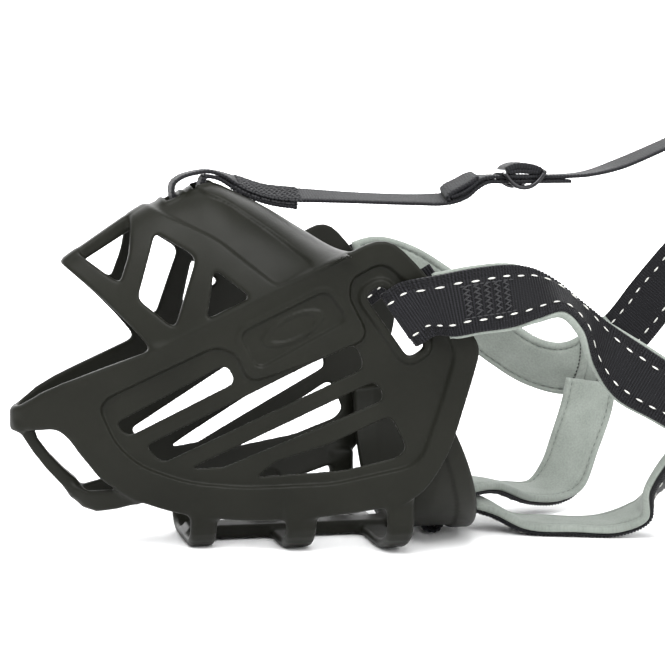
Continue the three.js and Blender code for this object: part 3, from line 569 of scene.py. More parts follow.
def at_slot(side, along, out):
    """The pair of strap edges at the panel's slot, by place along the panel and height over it."""
    turn = math.atan(WIDENING)
    pair = []
    for half in (STRAP / 2, -STRAP / 2):
        x = SLOT_X + SLOT_RUN[0] * along - SLOT_RUN[1] * half
        z = SLOT_Z + SLOT_RUN[1] * along + SLOT_RUN[0] * half
        reach = HALF_WIDTH + WIDENING * x + out * math.cos(turn)
        pair.append((x - out * math.sin(turn), side * reach, z))
    return pair


FOLD = [(18.5, -6.6), (10, -6.6), (5.6, -6.2), (3.2, -4.6), (2.6, -2.2), (3, 0.8), (5.6, 2.4),
        (9.2, 3.4)]
RUN_START = Vector((176, -47, 58))  # the straight run that carries the buckle
RUN = Vector((0.511, 0.269, 0.816)).normalized()
RUN_WIDE = Vector((0.86, -0.16, -0.486)).normalized()
RUN_OUT = RUN_WIDE.cross(RUN).normalized()


def on_run(along, wide=0.0, out=0.0):
    return RUN_START + RUN * along + RUN_WIDE * wide + RUN_OUT * out


def run_pair(along):
    return [on_run(along, -STRAP / 2), on_run(along, STRAP / 2)]


NECK_LEFT = (
    [at_slot(-1, *place) for place in FOLD]
    + [
        [(36, -60.4, 92.6), (40.5, -61.8, 73)], [(45, -62.5, 94.4), (47.5, -64, 74.4)],
        [(57, -60.5, 95.2), (58.5, -65, 75.9)], [(66, -56, 93.6), (66.5, -66, 78.6)],
        [(75.5, -51.5, 88.8), (74.5, -66, 80.4)], [(84, -52, 82), (81.5, -64, 74.3)],
        [(92, -56, 76), (87, -59, 62)], [(103, -59, 68.6), (94.5, -57, 51.8)],
        [(116, -60, 60.5), (107, -57.5, 44.4)], [(131, -59, 54), (125, -57.5, 35.2)],
        [(144, -57.5, 52), (146, -56, 32.2)], [(155, -55, 54.6), (164, -53.2, 37)],
    ]
    + [run_pair(along) for along in (-14, -7, 0, 18, 36)]
)  # fmt: skip
NECK_RIGHT = (
    [at_slot(1, *place) for place in FOLD]
    + [
        [(36, 60.4, 95), (40.5, 61.8, 75.8)], [(45, 62, 96), (48, 63.5, 76.6)],
        [(57, 61, 92.6), (58.4, 65.4, 73.4)], [(70, 59, 84.8), (67, 67.4, 67)],
        [(83, 56.5, 74.2), (77, 66.8, 58.6)], [(94, 54, 64.2), (88.7, 65, 50)],
        [(103.5, 52, 58.4), (101, 61, 42.2)], [(112, 50.6, 57.4), (115, 55.4, 39)],
        [(119, 49.6, 60.8), (129, 50, 44)], [(127, 48, 68), (141, 47, 54.6)],
        [(136, 46, 80), (151, 44, 67.6)], [(147, 43.6, 93.6), (161.5, 41, 80.4)],
        [(165, 39.6, 113), (180, 36.6, 100.4)], [(185, 34, 132), (201, 31, 121)],
        [(206, 25, 146.5), (222, 22, 137)], [(224, 11, 156.4), (241.5, 12, 149.2)],
        [(229, -4, 158.6), (248, -1, 153.4)],
    ]
    + [run_pair(along) for along in (124, 116, 108, 101.5)]
)  # fmt: skip
THROAT_LEFT = [
    [(148.5, -49, 48), (129, -51, 52)], [(143, -46, 37), (124.5, -51.4, 41.5)],
    [(132.5, -35, 26), (117.5, -47.5, 30)], [(122, -25, 16), (112.5, -42, 18)],
    [(116, -17, 8), (114, -36, 7)], [(104, -12, 2.7), (106, -31, 2.2)],
    [(88, -7, 2.1), (92, -26, 1.9)], [(75, -1, 3), (77, -20, 2.2)],
    [(66, 6, 7.8), (67, -13, 6.6)], [(59, 10, 8.6), (59, -10, 8.6)],
    [(54, 10, 8.5), (54, -10, 8.5)], [(50.4, 10, 7.6), (50.4, -10, 7.6)],
    [(49.6, 10, 4.4), (49.6, -10, 4.4)], [(48, 10, 2.1), (48, -10, 2.1)],
    [(45.6, 10, 2.1), (45.6, -10, 2.1)], [(44, 10, 4.2), (44, -10, 4.2)],
    [(43.8, 10, 7.2), (43.8, -10, 7.2)],
]  # fmt: skip
THROAT_RIGHT = [
    [(52, 10, 11.6), (52, -10, 11.6)], [(60, 11.4, 13.3), (60.5, -8.6, 13.3)],
    [(70, 21, 11.6), (73, 2, 12.2)], [(82, 29, 8.4), (88, 13, 5.8)],
    [(93, 33.6, 7.6), (101.5, 20, 4.4)], [(99.6, 36.6, 15), (111.5, 27, 7.6)],
    [(104, 39, 25.5), (118.6, 33, 19.8)], [(108.4, 42, 36.5), (125.4, 40, 32.5)],
    [(110.6, 43.2, 45.4), (128, 42.2, 42.8)],
]  # fmt: skip


def curve_through(points, places):
    """A centripetal Catmull-Rom curve through points, at places counted in points."""
    points = np.array([tuple(p) for p in points], float)
    points = np.vstack([2 * points[0] - points[1], points, 2 * points[-1] - points[-2]])
    first = np.clip(np.floor(places).astype(int), 0, len(points) - 4)
    t = (places - first)[:, None]
    a, b, c, d = (points[first + i] for i in range(4))
    spans = ((a, b), (b, c), (c, d))
    ab, bc, cd = (np.sqrt(np.linalg.norm(q - p, axis=1))[:, None] for p, q in spans)
    leave = ((b - a) / ab - (c - a) / (ab + bc) + (c - b) / bc) * bc
    arrive = ((c - b) / bc - (d - b) / (bc + cd) + (d - c) / cd) * bc
    return (
        b + leave * t + (3 * (c - b) - 2 * leave - arrive) * t**2
        + (2 * (b - c) + leave + arrive) * t**3
    )


def unit(vectors):
    return vectors / np.linalg.norm(vectors, axis=-1, keepdims=True)


class Route:
    """Evenly spaced stations along a strap, with its frame at each."""

    def __init__(self, pairs, start=0.0, end=None, step=0.24, width=STRAP):
        upper, lower = [pair[0] for pair in pairs], [pair[1] for pair in pairs]
        places = np.linspace(start, len(pairs) - 1 if end is None else end, 1500)
        middle = (curve_through(upper, places) + curve_through(lower, places)) / 2
        run = np.r_[0, np.cumsum(np.linalg.norm(np.diff(middle, axis=0), axis=1))]
        self.length = run[-1]
        self.along = np.linspace(0, self.length, int(self.length / step) + 1)
        self.places = np.interp(self.along, run, places)
        left, right = curve_through(upper, self.places), curve_through(lower, self.places)
        self.centre = (left + right) / 2
        self.across = (right - left) / width
        tangent = unit(np.gradient(self.centre, axis=0))
        self.normal = unit(np.cross(tangent, self.across))

    def point(self, along, wide, out):
        """The points at distances along and wide of the middle line, and out along the normal."""
        at = [
            np.stack([np.interp(along, self.along, array[:, i]) for i in range(3)], -1)
            for array in (self.centre, self.across, self.normal)
        ]
        wide, out = np.asarray(wide, float)[..., None], np.asarray(out, float)[..., None]
        return at[0] + at[1] * wide + at[2] * out


def add_pattern(thing, along, across):
    """Each vertex's place along a strap and across it, for the strap's materials."""
    layer = thing.data.attributes.new("strap", "FLOAT_VECTOR", "POINT")
    pattern = np.stack([along, across, np.zeros_like(along)], 1)
    layer.data.foreach_set("vector", pattern.ravel().astype(np.float32))


def slab(name, route, wide, low, high, material, body=ROOT):
    """A closed strip along a route: columns at wide, from height low to height high."""
    rows, count = len(route.along), len(wide)
    flat = route.centre[:, None] + route.across[:, None] * wide[None, :, None]

    def face(out):
        out = np.broadcast_to(out, (rows, count))
        return (flat + route.normal[:, None] * out[..., None]).reshape(-1, 3)

    top, bottom = face(high), face(low)
    ids = np.arange(rows * count).reshape(rows, count)
    under = ids + rows * count

    def strip(a, b, c, d):
        return np.stack([x.ravel() for x in (a, b, c, d)], 1)

    faces = [
        strip(ids[:-1, :-1], ids[1:, :-1], ids[1:, 1:], ids[:-1, 1:]),
        strip(under[:-1, :-1], under[:-1, 1:], under[1:, 1:], under[1:, :-1]),
        strip(ids[:-1, 0], under[:-1, 0], under[1:, 0], ids[1:, 0]),
        strip(ids[:-1, -1], ids[1:, -1], under[1:, -1], under[:-1, -1]),
        strip(ids[0, :-1], ids[0, 1:], under[0, 1:], under[0, :-1]),
        strip(ids[-1, :-1], under[-1, :-1], under[-1, 1:], ids[-1, 1:]),
    ]
    thing = link(name, np.vstack([top, bottom]), np.vstack(faces), material, body)
    add_pattern(thing, np.tile(np.repeat(route.along, count), 2), np.tile(wide, 2 * rows))
    return thing


def columns(half, edge_step, middle_steps, band):
    """Places across a strap: close together in a band at each edge, further apart between."""
    side = np.arange(half - band, half, edge_step)
    side = np.r_[side, half - 0.25, half - 0.1, half]
    side = np.unique(np.round(side, 3))
    middle = np.linspace(-half + band, half - band, middle_steps + 1)
    return np.unique(np.round(np.r_[-side, middle, side], 3))


def edge_rounding(wide, half, radius):
    """How far a strap's face falls off towards its edges, from 0 to 1 of the radius."""
    past = np.clip((np.abs(wide) - half + radius) / radius, 0, 0.985)
    return 1 - np.sqrt(1 - past**2)


def rod(route, along, wide, out, length, thick, high, turn=0.0):
    """The vertices and faces of small rounded threads lying on a strap."""
    sides, rings = 6, 5
    along, wide = np.broadcast_arrays(np.asarray(along, float), np.asarray(wide, float))
    t = np.linspace(-1, 1, rings)
    round_t = np.sqrt(np.clip(1 - np.abs(t) ** 2.4, 0.02, 1))
    angles = around(sides)
    u = (t * length / 2)[:, None] + 0 * angles
    v = round_t[:, None] * np.cos(angles) * thick / 2
    w = round_t[:, None] * np.sin(angles) * high / 2
    turn = np.broadcast_to(turn, along.shape)[:, None, None]
    a = along[:, None, None] + u * np.cos(turn) - v * np.sin(turn)
    b = wide[:, None, None] + u * np.sin(turn) + v * np.cos(turn)
    points = route.point(a, b, out + w + 0 * a)
    starts = np.arange(len(along)) * rings * sides
    faces = tube_faces(rings, sides) + starts[:, None, None]
    return points.reshape(-1, 3), faces.reshape(-1, 4)


def threads(name, groups, material):
    """One object from several groups of threads."""
    thing = link(name, *merged(groups), material, ROOT)


# ---- straps: materials ----
def strap_pattern(m):
    """The place along a strap and across it, in millimetres, as two outputs."""
    vector = m.add("Attribute", {"attribute_name": "strap"}).outputs["Vector"]
    parts = m.add("SeparateXYZ")
    m.put(parts, "Vector", vector)
    return vector, parts.outputs["X"], parts.outputs["Y"]


def wave(m, place, pitch, phase=0.0):
    turns = m.maths("ADD", m.maths("MULTIPLY", place, 2 * math.pi / pitch), phase)
    return m.maths("MULTIPLY_ADD", m.maths("SINE", turns), 0.5, 0.5)


def webbing_material(name, colour):
    m = Nodes(name, colour, 0.62, Specular_IOR_Level=0.12, Sheen_Weight=0.05, Sheen_Roughness=0.4)
    vector, along, across = strap_pattern(m)
    yarn = m.maths("MULTIPLY", wave(m, across, 0.62), wave(m, along, 0.9))
    fuzz = m.noise(2.6, 3, vector)
    # The colour steps lighter and darker at the rib pitch along the strap, which paints highlight
    # and shade on the ribs. The weave pattern of the yarn and the random tone of the fuzz are added
    # to it.
    ribs = m.maths("MULTIPLY_ADD", wave(m, along, 0.96), 0.4, m.maths("MULTIPLY", yarn, 0.25))
    shade = m.maths("ADD", ribs, m.maths("MULTIPLY", fuzz, 0.5))
    dark = tuple(c * 0.25 for c in colour)
    light = tuple(c * 3 for c in colour)
    fine = m.bump(m.maths("ADD", wave(m, across, 0.62), m.noise(7, 2, vector)), 0.00012, 0.5)
    return m.finished(
        Base_Color=m.ramp(shade, [(0.25, dark), (0.5, colour), (0.9, light)]),
        Roughness=m.maths("MULTIPLY_ADD", fuzz, 0.3, 0.42),
        Normal=fine,
    )


def lining_material():
    m = Nodes(
        "lining", (0.36, 0.4, 0.355), 0.95,
        Specular_IOR_Level=0.15, Sheen_Weight=0.1, Sheen_Roughness=0.6,
    )  # fmt: skip
    vector = strap_pattern(m)[0]
    nap = m.noise(1.3, 4, vector)
    cloudy = m.noise(0.12, 3, vector)
    shade = m.maths("ADD", m.maths("MULTIPLY", nap, 0.55), m.maths("MULTIPLY", cloudy, 0.45))
    stops = [
        (0.3, (0.135, 0.15, 0.134)), (0.5, (0.178, 0.197, 0.177)), (0.75, (0.225, 0.245, 0.222)),
    ]  # fmt: skip
    fine = m.bump(m.noise(4.5, 3, vector), 0.00018, 0.55)
    return m.finished(Base_Color=m.ramp(shade, stops), Normal=fine)


def thread_material(name, colour):
    m = Nodes(name, colour, 0.7)
    place = m.object_place()
    dark = tuple(c * 0.7 for c in colour)
    shade = m.ramp(m.noise(900, 2, place), [(0.3, dark), (0.65, colour)])
    return m.finished(Base_Color=shade, Normal=m.bump(m.noise(2600, 2, place), 0.00005, 0.6))


black_webbing = webbing_material("webbing", (0.0045, 0.0045, 0.0055))
grey_webbing = webbing_material("forehead_webbing", (0.006, 0.0061, 0.0072))
lining = lining_material()
pale_thread = thread_material("pale_thread", (0.58, 0.58, 0.54))
black_thread = thread_material("black_thread", (0.01, 0.01, 0.012))
grey_thread = thread_material("grey_thread", (0.1, 0.115, 0.1))
seam_thread = thread_material("seam_thread", (0.022, 0.025, 0.022))

# ---- straps: webbing, lining and stitches ----
RIB = 0.96  # pitch of the ribs across the sewn-on tape
KNOB = 1.25  # pitch of the coarse weave outside it
KNOB_ROW = 1.04  # width of each of its rows
TAPE = 6.9  # half width of the tape
ROW = 6.1  # the stitch rows on it, from the middle
WEBBING_WIDE = columns(STRAP / 2, 0.34, 10, 3.3)


def weave(route):
    """Height of the webbing's outer face over its inner one."""
    s, past_tape = route.along[:, None], np.abs(WEBBING_WIDE) - TAPE
    ribs = WEBBING - 0.17 + 0.16 * np.cos(2 * math.pi * s / RIB)
    turns = s / KNOB + 0.5 * np.floor(past_tape / KNOB_ROW) + 0.35 * past_tape
    knobs = WEBBING - 0.7 + 0.58 * np.abs(np.cos(math.pi * turns))
    knobs = knobs - 0.3 * np.abs(np.cos(math.pi * past_tape / KNOB_ROW)) ** 6
    face = np.where(past_tape < 0, ribs, knobs)
    return face - 0.75 * edge_rounding(WEBBING_WIDE, STRAP / 2, 0.8)


def webbing_strip(name, pairs, outer_side, node):
    """Harness webbing with a tape sewn on its outer side and white stitches through both."""
    route = Route(pairs)
    outer = weave(route)
    ribs = 0.05 * np.cos(2 * math.pi * route.along[:, None] / RIB)
    inner = 0.5 * edge_rounding(WEBBING_WIDE, STRAP / 2, 0.8) + ribs
    low, high = (inner, outer) if outer_side > 0 else (-outer, -inner)
    strip = slab(name, route, WEBBING_WIDE, low, high, black_webbing)
    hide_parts(node)
    groups = []
    places = np.arange(3.5, route.length - 2, 5.0)
    for row in (-ROW, ROW):
        along = places + 0.9 * (row > 0)
        wander = 0.18 * np.sin(places * 1.7 + row)
        for face in (WEBBING + 0.02, -0.02):
            groups.append(rod(route, along, row + wander, outer_side * face, 2.5, 0.62, 0.5))
    threads(name + "_stitches", groups, pale_thread)
    return route


def lining_strip(name, pairs, side, node, **span):
    """The padded lining on a strap's inner face, with its two sewn channels."""
    route = Route(pairs, step=0.6, **span)
    half = STRAP / 2 + OVERHANG
    wide = columns(half, 0.3, 12, 3.4)
    s, w = route.along[:, None], wide[None]
    seam = half - 2.5
    channel = np.exp(-(((np.abs(w) - seam) / 0.55) ** 2))
    crown = 0.22 * (1 - (w / seam) ** 2).clip(0)
    slack = 0.14 * np.sin(s / 5.3 + w / 6) + 0.1 * np.sin(s / 2.9 - w / 3.1)
    face = GAP + LINING - 0.15 + crown - channel * (0.5 + 0.12 * np.cos(2 * math.pi * s / 2.6))
    face = face + slack * (1 - channel) * 0.6
    face = face - 1.25 * edge_rounding(w, half, 1.25)
    ends = np.minimum(s, route.length - s)
    face = face - 1.1 * (1 - np.clip(ends / 1.2, 0, 1)) ** 2
    back_face = 0.06 + 0.9 * edge_rounding(w, half, 1.1) + 0 * s
    low, high = (back_face, face) if side > 0 else (-face, -back_face)
    pad = slab(name, route, wide, low, high, lining)
    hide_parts(node)
    places = np.arange(2.4, route.length - 1.5, 2.6)
    groups = [
        rod(route, places, sign * seam, side * (GAP + LINING - 0.62), 1.7, 0.36, 0.36)
        for sign in (-1, 1)
    ]
    threads(name + "_stitches", groups, grey_thread)
    return route


near_route = webbing_strip("neck_webbing_near", NECK_LEFT, -1, "neck_webbing_left")
far_route = webbing_strip("neck_webbing_far", NECK_RIGHT, 1, "neck_webbing_right")
webbing_strip("throat_webbing_near", THROAT_LEFT, -1, "throat_webbing_left")
webbing_strip("throat_webbing_far", THROAT_RIGHT, 1, "throat_webbing_right")
lining_strip("neck_lining_near", NECK_LEFT, 1, "neck_liner_left", start=7.8, end=16.9)
lining_strip("neck_lining_far", NECK_RIGHT, -1, "neck_liner_right", start=7.8, end=16.8)
lining_strip("throat_lining_near", THROAT_LEFT, 1, "throat_liner_left", end=8.7)
lining_strip("throat_lining_far", THROAT_RIGHT, -1, "throat_liner_right")


def bar_tack(route, along, reach, pitch, out, swing, *size):
    """Threads across a strap that lean to and fro."""
    wide = np.arange(-reach, reach + 0.1, pitch)
    lean = np.where(np.arange(len(wide)) % 2, 0.5, -0.5)
    return rod(route, along + swing * lean, wide, out, *size, turn=lean)


# The black bar tacks that hold the near strap's folded end.
tacks = [
    bar_tack(near_route, along, 4.6, 0.85, -WEBBING - 0.12, 0.5, 2.2, 0.55, 0.6)
    for along in np.arange(45.5, 60.5, 3.1)
]
for sign in (-1, 1):
    along = np.arange(44.5, 60.5, 1.9)
    tacks.append(rod(near_route, along, 5.0 * sign, -WEBBING - 0.1, 1.7, 0.5, 0.5))
threads("neck_tacks_near", tacks, black_thread)


PIPE_SIDES = 12


def piping(name, route, path):
    """A raised rounded strip of the lining along a path of (along, wide, out) on a route."""
    radius, flat = 1.5, 0.85
    path = np.array(path, float)
    middle = route.point(path[:, 0], path[:, 1], path[:, 2])
    normal = np.stack([np.interp(path[:, 0], route.along, route.normal[:, i]) for i in range(3)], 1)
    tangent = unit(np.gradient(middle, axis=0))
    aside = unit(np.cross(normal, tangent))
    angles = around(PIPE_SIDES)
    rows = (
        middle[:, None]
        + aside[:, None] * (np.cos(angles) * radius)[None, :, None]
        + normal[:, None] * (np.sin(angles) * radius * flat)[None, :, None]
    )
    faces = tube_faces(len(path), PIPE_SIDES)[:, ::-1]
    thing = link(name, rows.reshape(-1, 3), faces, lining, ROOT)
    across = path[:, 1:2] + np.cos(angles) * radius
    add_pattern(thing, np.repeat(path[:, 0], PIPE_SIDES), across.ravel())


def place_on(route, place):
    """The distance along a route of a place counted in its points."""
    return float(np.interp(place, route.places, route.along))


# The covered seam where the far throat strap is sewn to the far neck strap, and its dark row.
REACH = 10.6  # of a seam to each side of a strap's middle
joint_low, joint_high = place_on(far_route, 15.05), place_on(far_route, 15.95)
face_out = -(GAP + LINING)


def across_joint(t):
    """The place along and across the far neck strap of a share of the seam."""
    return joint_low + (joint_high - joint_low) * t, REACH - 2 * REACH * t


seam = [(*across_joint(t), face_out) for t in np.linspace(0, 1, 24)]
piping("neck_seam_far", far_route, seam)
along = np.arange(place_on(far_route, 15.3), place_on(far_route, 16.5), 1.3)
seam_along, seam_wide = across_joint(np.linspace(0.02, 0.98, 17))
threads(
    "neck_seam_far_stitches",
    [
        rod(far_route, along, 8.4, face_out - 0.1, 1.0, 0.6, 0.5),
        rod(far_route, seam_along - 2.1, seam_wide, face_out - 0.1, 1.0, 0.6, 0.5, turn=-1.1),
    ],
    seam_thread,
)
# The bound ends of the neck lining.
for name, route, side, places in (
    ("neck_binding_far", far_route, -1, (7.85, 16.78)),
    ("neck_binding_near", near_route, 1, (7.85, 16.88)),
):
    for number, place in enumerate(places):
        path = [(place_on(route, place), w, side * 1.6) for w in np.linspace(-REACH, REACH, 20)]
        piping(f"{name}_{number + 1}", route, path)

# ---- forehead strap ----
# Its route lies in the middle plane, as x and z. Its rolls turn its top towards the dog's left.
NARROW = 1.3  # thickness of its webbing
NARROW_WIDTH = 10.0
FOREHEAD_FRONT = [
    (1, 112.7), (-8, 114), (-17, 117.1), (-25.8, 121), (-29.7, 121.2), (-30.8, 118.8),
    (-31.4, 116.2), (-32.8, 114), (-35, 112.9), (-37.2, 112.3), (-39.3, 113.4), (-40.4, 116),
    (-40, 119.2), (-37.4, 121.3), (-33, 122.6), (-28.4, 123.1), (-23.4, 121.9), (-17, 118.9),
    (-9, 116.2), (-2, 115.2), (8, 114.6), (20, 113.9), (32, 113.3), (44, 112.9), (50, 112.9),
    (55, 113.4), (59.5, 115), (63.5, 117.6), (67, 118.8), (72, 118.9), (96, 118.9),
]  # fmt: skip
FOREHEAD_REAR = [
    (54, 115.1), (57.4, 116.2), (60.8, 118.1), (64.2, 120), (67.6, 120.5), (72, 120.55),
    (96, 120.55), (104, 121.4), (114.5, 124.4), (129, 130.2), (146, 137.6), (168, 145.9),
    (192, 153.6), (208, 158.6), (218, 162), (226, 163.2), (236, 161.6), (246, 158.4),
    (252.2, 154.8), (252, 151.2), (247.6, 149.2), (238, 151.8), (228, 155.2), (220, 158),
]  # fmt: skip


def narrow_strip(name, points, rolls=((0, 0),), node=None, body=ROOT, thick=NARROW):
    """The forehead's narrow webbing, a coarse plain weave with corded edges, along points.

    Rolls are (x, drop of the near edge and rise of the far one), read between.
    """
    half = NARROW_WIDTH / 2
    pairs = []
    for x, z in points:
        drop = float(np.interp(x, *zip(*rolls)))
        pairs.append([(x, -half, z - drop), (x, half, z + drop)])
    route = Route(pairs, width=NARROW_WIDTH, step=0.25)
    wide = columns(half, 0.3, 14, 1.6)
    s, w = route.along[:, None], wide[None]
    size = np.abs(w)
    lane = np.floor(w / 0.9)
    ribs = 0.12 * np.abs(np.sin(math.pi * (s / 0.95 + 0.5 * lane)))
    cord = 0.3 * np.abs(np.cos(math.pi * (s / 1.25 + 0.4 * (size - 3.7))))
    face = thick / 2 + np.where(size > 3.7, cord - 0.22, ribs - 0.08)
    face = face - 0.55 * edge_rounding(w, half, 0.6)
    strip = slab(name, route, wide, -face, face, grey_webbing, body)
    if node:
        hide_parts(node)
    return route


FRONT_ROLL = [(-26, 0), (-17, 1.6), (2, 2), (12, 1.4), (40, 1.2), (50, 1.5), (61, 1.2), (66, 0)]
front_route = narrow_strip(
    "forehead_webbing_front", FOREHEAD_FRONT, FRONT_ROLL, "forehead_front_strap"
)
REAR_ROLL = [(50, 1.5), (61, 1.2), (66, 0), (100, 0), (114, 1), (203, 1), (215, 0)]
rear_route = narrow_strip("forehead_webbing_rear", FOREHEAD_REAR, REAR_ROLL, "forehead_rear_strap")
BIGHT = [(72.6, 121.5), (73.6, 123), (75.8, 124), (79, 124.2), (82.4, 123.7), (85, 122.7),
         (86.4, 121.4)]
UNDER_BIGHT = [(74, 121.9), (76, 122.3), (79, 122.4), (82, 122.2), (85, 121.8)]
narrow_strip("forehead_bight_inner", UNDER_BIGHT, body="forehead_slider_body", thick=1.6)
narrow_strip("forehead_bight", BIGHT, body="forehead_slider_body", thick=2.2)

# The rear strap's rolled hem, in front of the slider.
HEM = [(63.4, 121.2), (61, 120), (58.4, 118.6), (56, 117.4), (54, 116.4), (52.9, 115.2),
       (53.2, 114)]
narrow_strip("forehead_hem", HEM, REAR_ROLL[:3])
# Tacks over the doubled ply behind the ridge: lumps of black thread on its faces and edges.
tacks = []
first, last = (place_on(front_route, place) for place in (16.8, 19.4))
for lane, wide in enumerate(np.arange(-4.4, 4.5, 1.1)):
    along = np.arange(first, last, 1.35) + 0.6 * (lane % 2)
    turn = 0.75 * np.sin(along * 2.3 + lane * 1.9)
    tacks.append(
        rod(front_route, along, wide, NARROW / 2 + 0.12, 1.9, 0.62, 0.62, turn=turn)
    )
for side in (-1, 1):
    for drop, end in ((0.3, last), (-0.9, last), (-2.0, place_on(front_route, 18.6))):
        along = np.arange(first, end, 1.15) + drop
        turn = 0.9 * np.sin(along * 1.7 + drop * 3)
        tacks.append(rod(front_route, along, 5.0 * side, drop, 1.6, 0.7, 1.0, turn=turn))
threads("forehead_tacks", tacks, black_thread)
tacks = [
    bar_tack(rear_route, along, 4.2, 0.8, NARROW / 2 + 0.9, 0, 1.8, 0.5, 0.5)
    for along in (4.2, 6.4)
]
threads("forehead_hem_tacks", tacks, black_thread)


# ---- hardware ----
def steel_material(name, dark, light):
    m = Nodes(name, light, 0.28, Metallic=1.0)
    place = m.object_place()
    scratch = m.add("Mapping", Scale=(1.0, 14.0, 1.0))
    m.put(scratch, "Vector", place)
    lines = m.noise(700, 3, scratch.outputs["Vector"])
    stops = [(0.2, (dark, dark, dark * 1.02)), (0.7, light)]
    return m.finished(
        Base_Color=m.ramp(m.noise(60, 2, place), stops),
        Roughness=m.maths("MULTIPLY_ADD", lines, 0.22, 0.12),
        Normal=m.bump(lines, 0.00002, 0.4),
    )


def plastic_material():
    m = Nodes("plastic", (0.012, 0.012, 0.013), 0.42, Specular_IOR_Level=0.5)
    place = m.object_place()
    cloud = m.noise(60, 2, place)
    return m.finished(
        Base_Color=m.ramp(cloud, [(0.3, (0.009, 0.009, 0.01)), (0.7, (0.016, 0.016, 0.0175))]),
        Roughness=m.maths("MULTIPLY_ADD", cloud, 0.18, 0.34),
        Normal=m.bump(m.noise(2400, 2, place), 0.00005, 0.35),
    )


steel = steel_material("steel", 0.46, (0.6, 0.6, 0.61))
# A darker copy of the steel for the slider's frame, which is the same bent wire as its front bar:
# painted shade.
shaded_steel = steel_material("shaded_steel", 0.02, (0.05, 0.05, 0.053))
plastic = plastic_material()


def softened(node, name, body, radius):
    """A plastic copy of a CAD solid with its edges rounded to a radius in millimetres."""
    source = frame["nodes"][node]
    shape = bmesh.new()
    shape.from_mesh(source.data)
    shape.transform(source.matrix_world)
    bmesh.ops.remove_doubles(shape, verts=shape.verts, dist=1e-6)
    bmesh.ops.dissolve_limit(
        shape, angle_limit=math.radians(2), verts=shape.verts, edges=shape.edges
    )
    mesh = bpy.data.meshes.new(name)
    shape.to_mesh(mesh)
    shape.free()
    mesh.materials.clear()
    mesh.materials.append(plastic)
    thing = add_object(name, mesh)
    bevel = thing.modifiers.new("edges", "BEVEL")
    bevel.width = radius * MM
    bevel.segments = 3
    bevel.limit_method = "ANGLE"
    bevel.angle_limit = math.radians(25)
    bevel.harden_normals = True
    mesh.shade_smooth()
    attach(thing, body)
    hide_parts(node)


WIRE_SIDES = 12


def wire(points, radius):
    """The vertices and faces of a round bar along a path, with rounded ends."""
    points = np.array(points, float)
    tangent = unit(np.gradient(points, axis=0))
    aside = unit(np.cross(tangent, np.where(np.abs(tangent[:, 1:2]) > 0.9, (0, 0, 1), (0, 1, 0))))
    over = np.cross(tangent, aside)
    run = np.r_[0, np.cumsum(np.linalg.norm(np.diff(points, axis=0), axis=1))]
    ends = np.clip(np.minimum(run, run[-1] - run) / (0.5 * radius), 0, 1)
    size = radius * np.sqrt(np.clip(1 - (1 - ends) ** 2, 0.15, 1))[:, None, None]
    angles = around(WIRE_SIDES)[None, :, None]
    spokes = aside[:, None] * np.cos(angles) + over[:, None] * np.sin(angles)
    rings = points[:, None] + size * spokes
    return rings.reshape(-1, 3), tube_faces(len(points), WIRE_SIDES)


def forehead_slider():
    """Bent wire: two bars over the strap, a middle bar under it and bowed sides."""
    centre, radius = 79, 0.8
    half, reach, high, low = 6.3, 7.05, 122.1, 117
    t = np.linspace(-1, 1, 49)
    bow = low + (high - low) * np.abs(t) ** 2.2
    frame_wires = [
        wire(np.stack([centre + reach * t, side * (half + 0 * t), bow], 1), radius)
        for side in (-1, 1)
    ]
    width = np.linspace(-half - 0.7, half + 0.7, 25)
    front, rear, middle = (
        wire(np.stack([x + 0 * width, width, z + 0 * width], 1), radius)
        for x, z in ((centre - reach, high), (centre + reach, high), (centre, low))
    )
    bar = link("slider_front_bar", *front, steel, "forehead_slider_body")
    # The front bar is in the plain steel and the rest of the same wire is in the darker copy, which
    # paints shade on the frame.
    rest = merged([*frame_wires, rear, middle])
    thing = link("slider_frame", *rest, shaded_steel, "forehead_slider_body")
    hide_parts("forehead_slider")


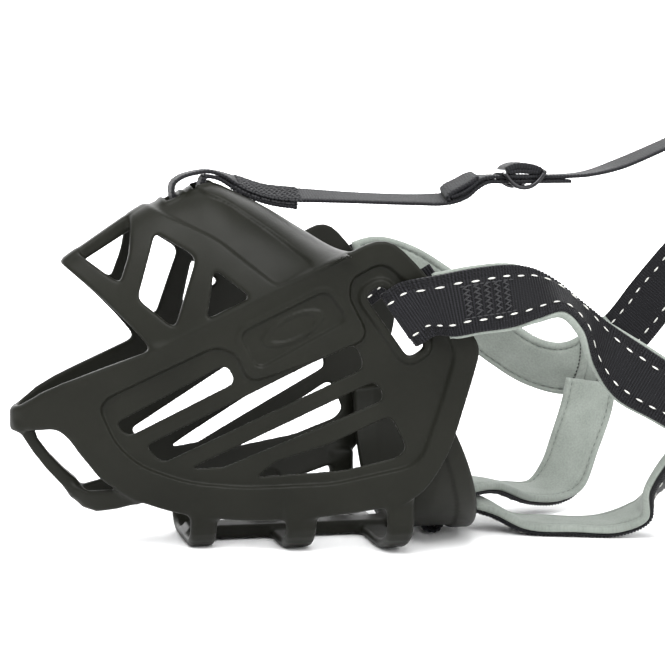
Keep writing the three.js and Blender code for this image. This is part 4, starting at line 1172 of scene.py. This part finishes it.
forehead_slider()
softened("neck_adjuster", "adjuster_frame", "neck_adjuster_body", 0.5)
softened("buckle_male", "buckle_clip", "buckle_male_body", 0.45)
softened("buckle_prong_left", "clip_prong_left", "prong_left_body", 0.4)
softened("buckle_prong_right", "clip_prong_right", "prong_right_body", 0.4)
softened("buckle_female", "buckle_socket", ROOT, 0.5)

# The tail webbing, out over the neck webbing and round the clip's bar.
TAIL = [(16, 2.8), (30, 2.8), (45, 2.8), (58, 2.8), (62.6, 2.7), (64.3, 1.9), (64.6, 0.9),
        (64.3, -0.3), (62.8, -1), (59.2, -1)]
tail_pairs = [
    [on_run(along, -STRAP / 2, out), on_run(along, STRAP / 2, out)] for along, out in TAIL
]
tail_route = Route(tail_pairs)
tail_face = weave(tail_route) - WEBBING / 2
tail_inner = 0.5 * edge_rounding(WEBBING_WIDE, STRAP / 2, 0.8) - WEBBING / 2
tail_strip = slab(
    "buckle_tail", tail_route, WEBBING_WIDE, -tail_face, -tail_inner, black_webbing,
    "buckle_male_body",
)  # fmt: skip
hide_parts("buckle_tail_webbing")

# ---- floor ----
def floor_material():
    m = Nodes("floor", (0.8, 0.8, 0.8), 0.75)
    stops = [(0.3, (0.93, 0.93, 0.93)), (0.7, (0.95, 0.95, 0.95))]
    return m.finished(Base_Color=m.ramp(m.noise(3, 2, m.object_place()), stops))


# In metres: flat from the front, then curved up into the backdrop.
FRONT, BEND_Y, BEND_RADIUS, TOP = -3.0, 1.2, 1.6, 5.0
sweep = [(FRONT, 0), (BEND_Y, 0)]
for angle in np.radians(np.arange(10, 91, 10)):
    sweep.append((BEND_Y + BEND_RADIUS * math.sin(angle), BEND_RADIUS * (1 - math.cos(angle))))
sweep.append((BEND_Y + BEND_RADIUS, TOP))
rows = [[(x, y, z) for x in (-5, 5)] for y, z in sweep]
floor_mesh = bpy.data.meshes.new("floor")
floor_mesh.from_pydata(
    [corner for row in rows for corner in row],
    [],
    [(2 * i, 2 * i + 1, 2 * i + 3, 2 * i + 2) for i in range(len(rows) - 1)],
)
floor_mesh.shade_smooth()
floor_mesh.materials.append(floor_material())
floor = add_object("floor", floor_mesh)
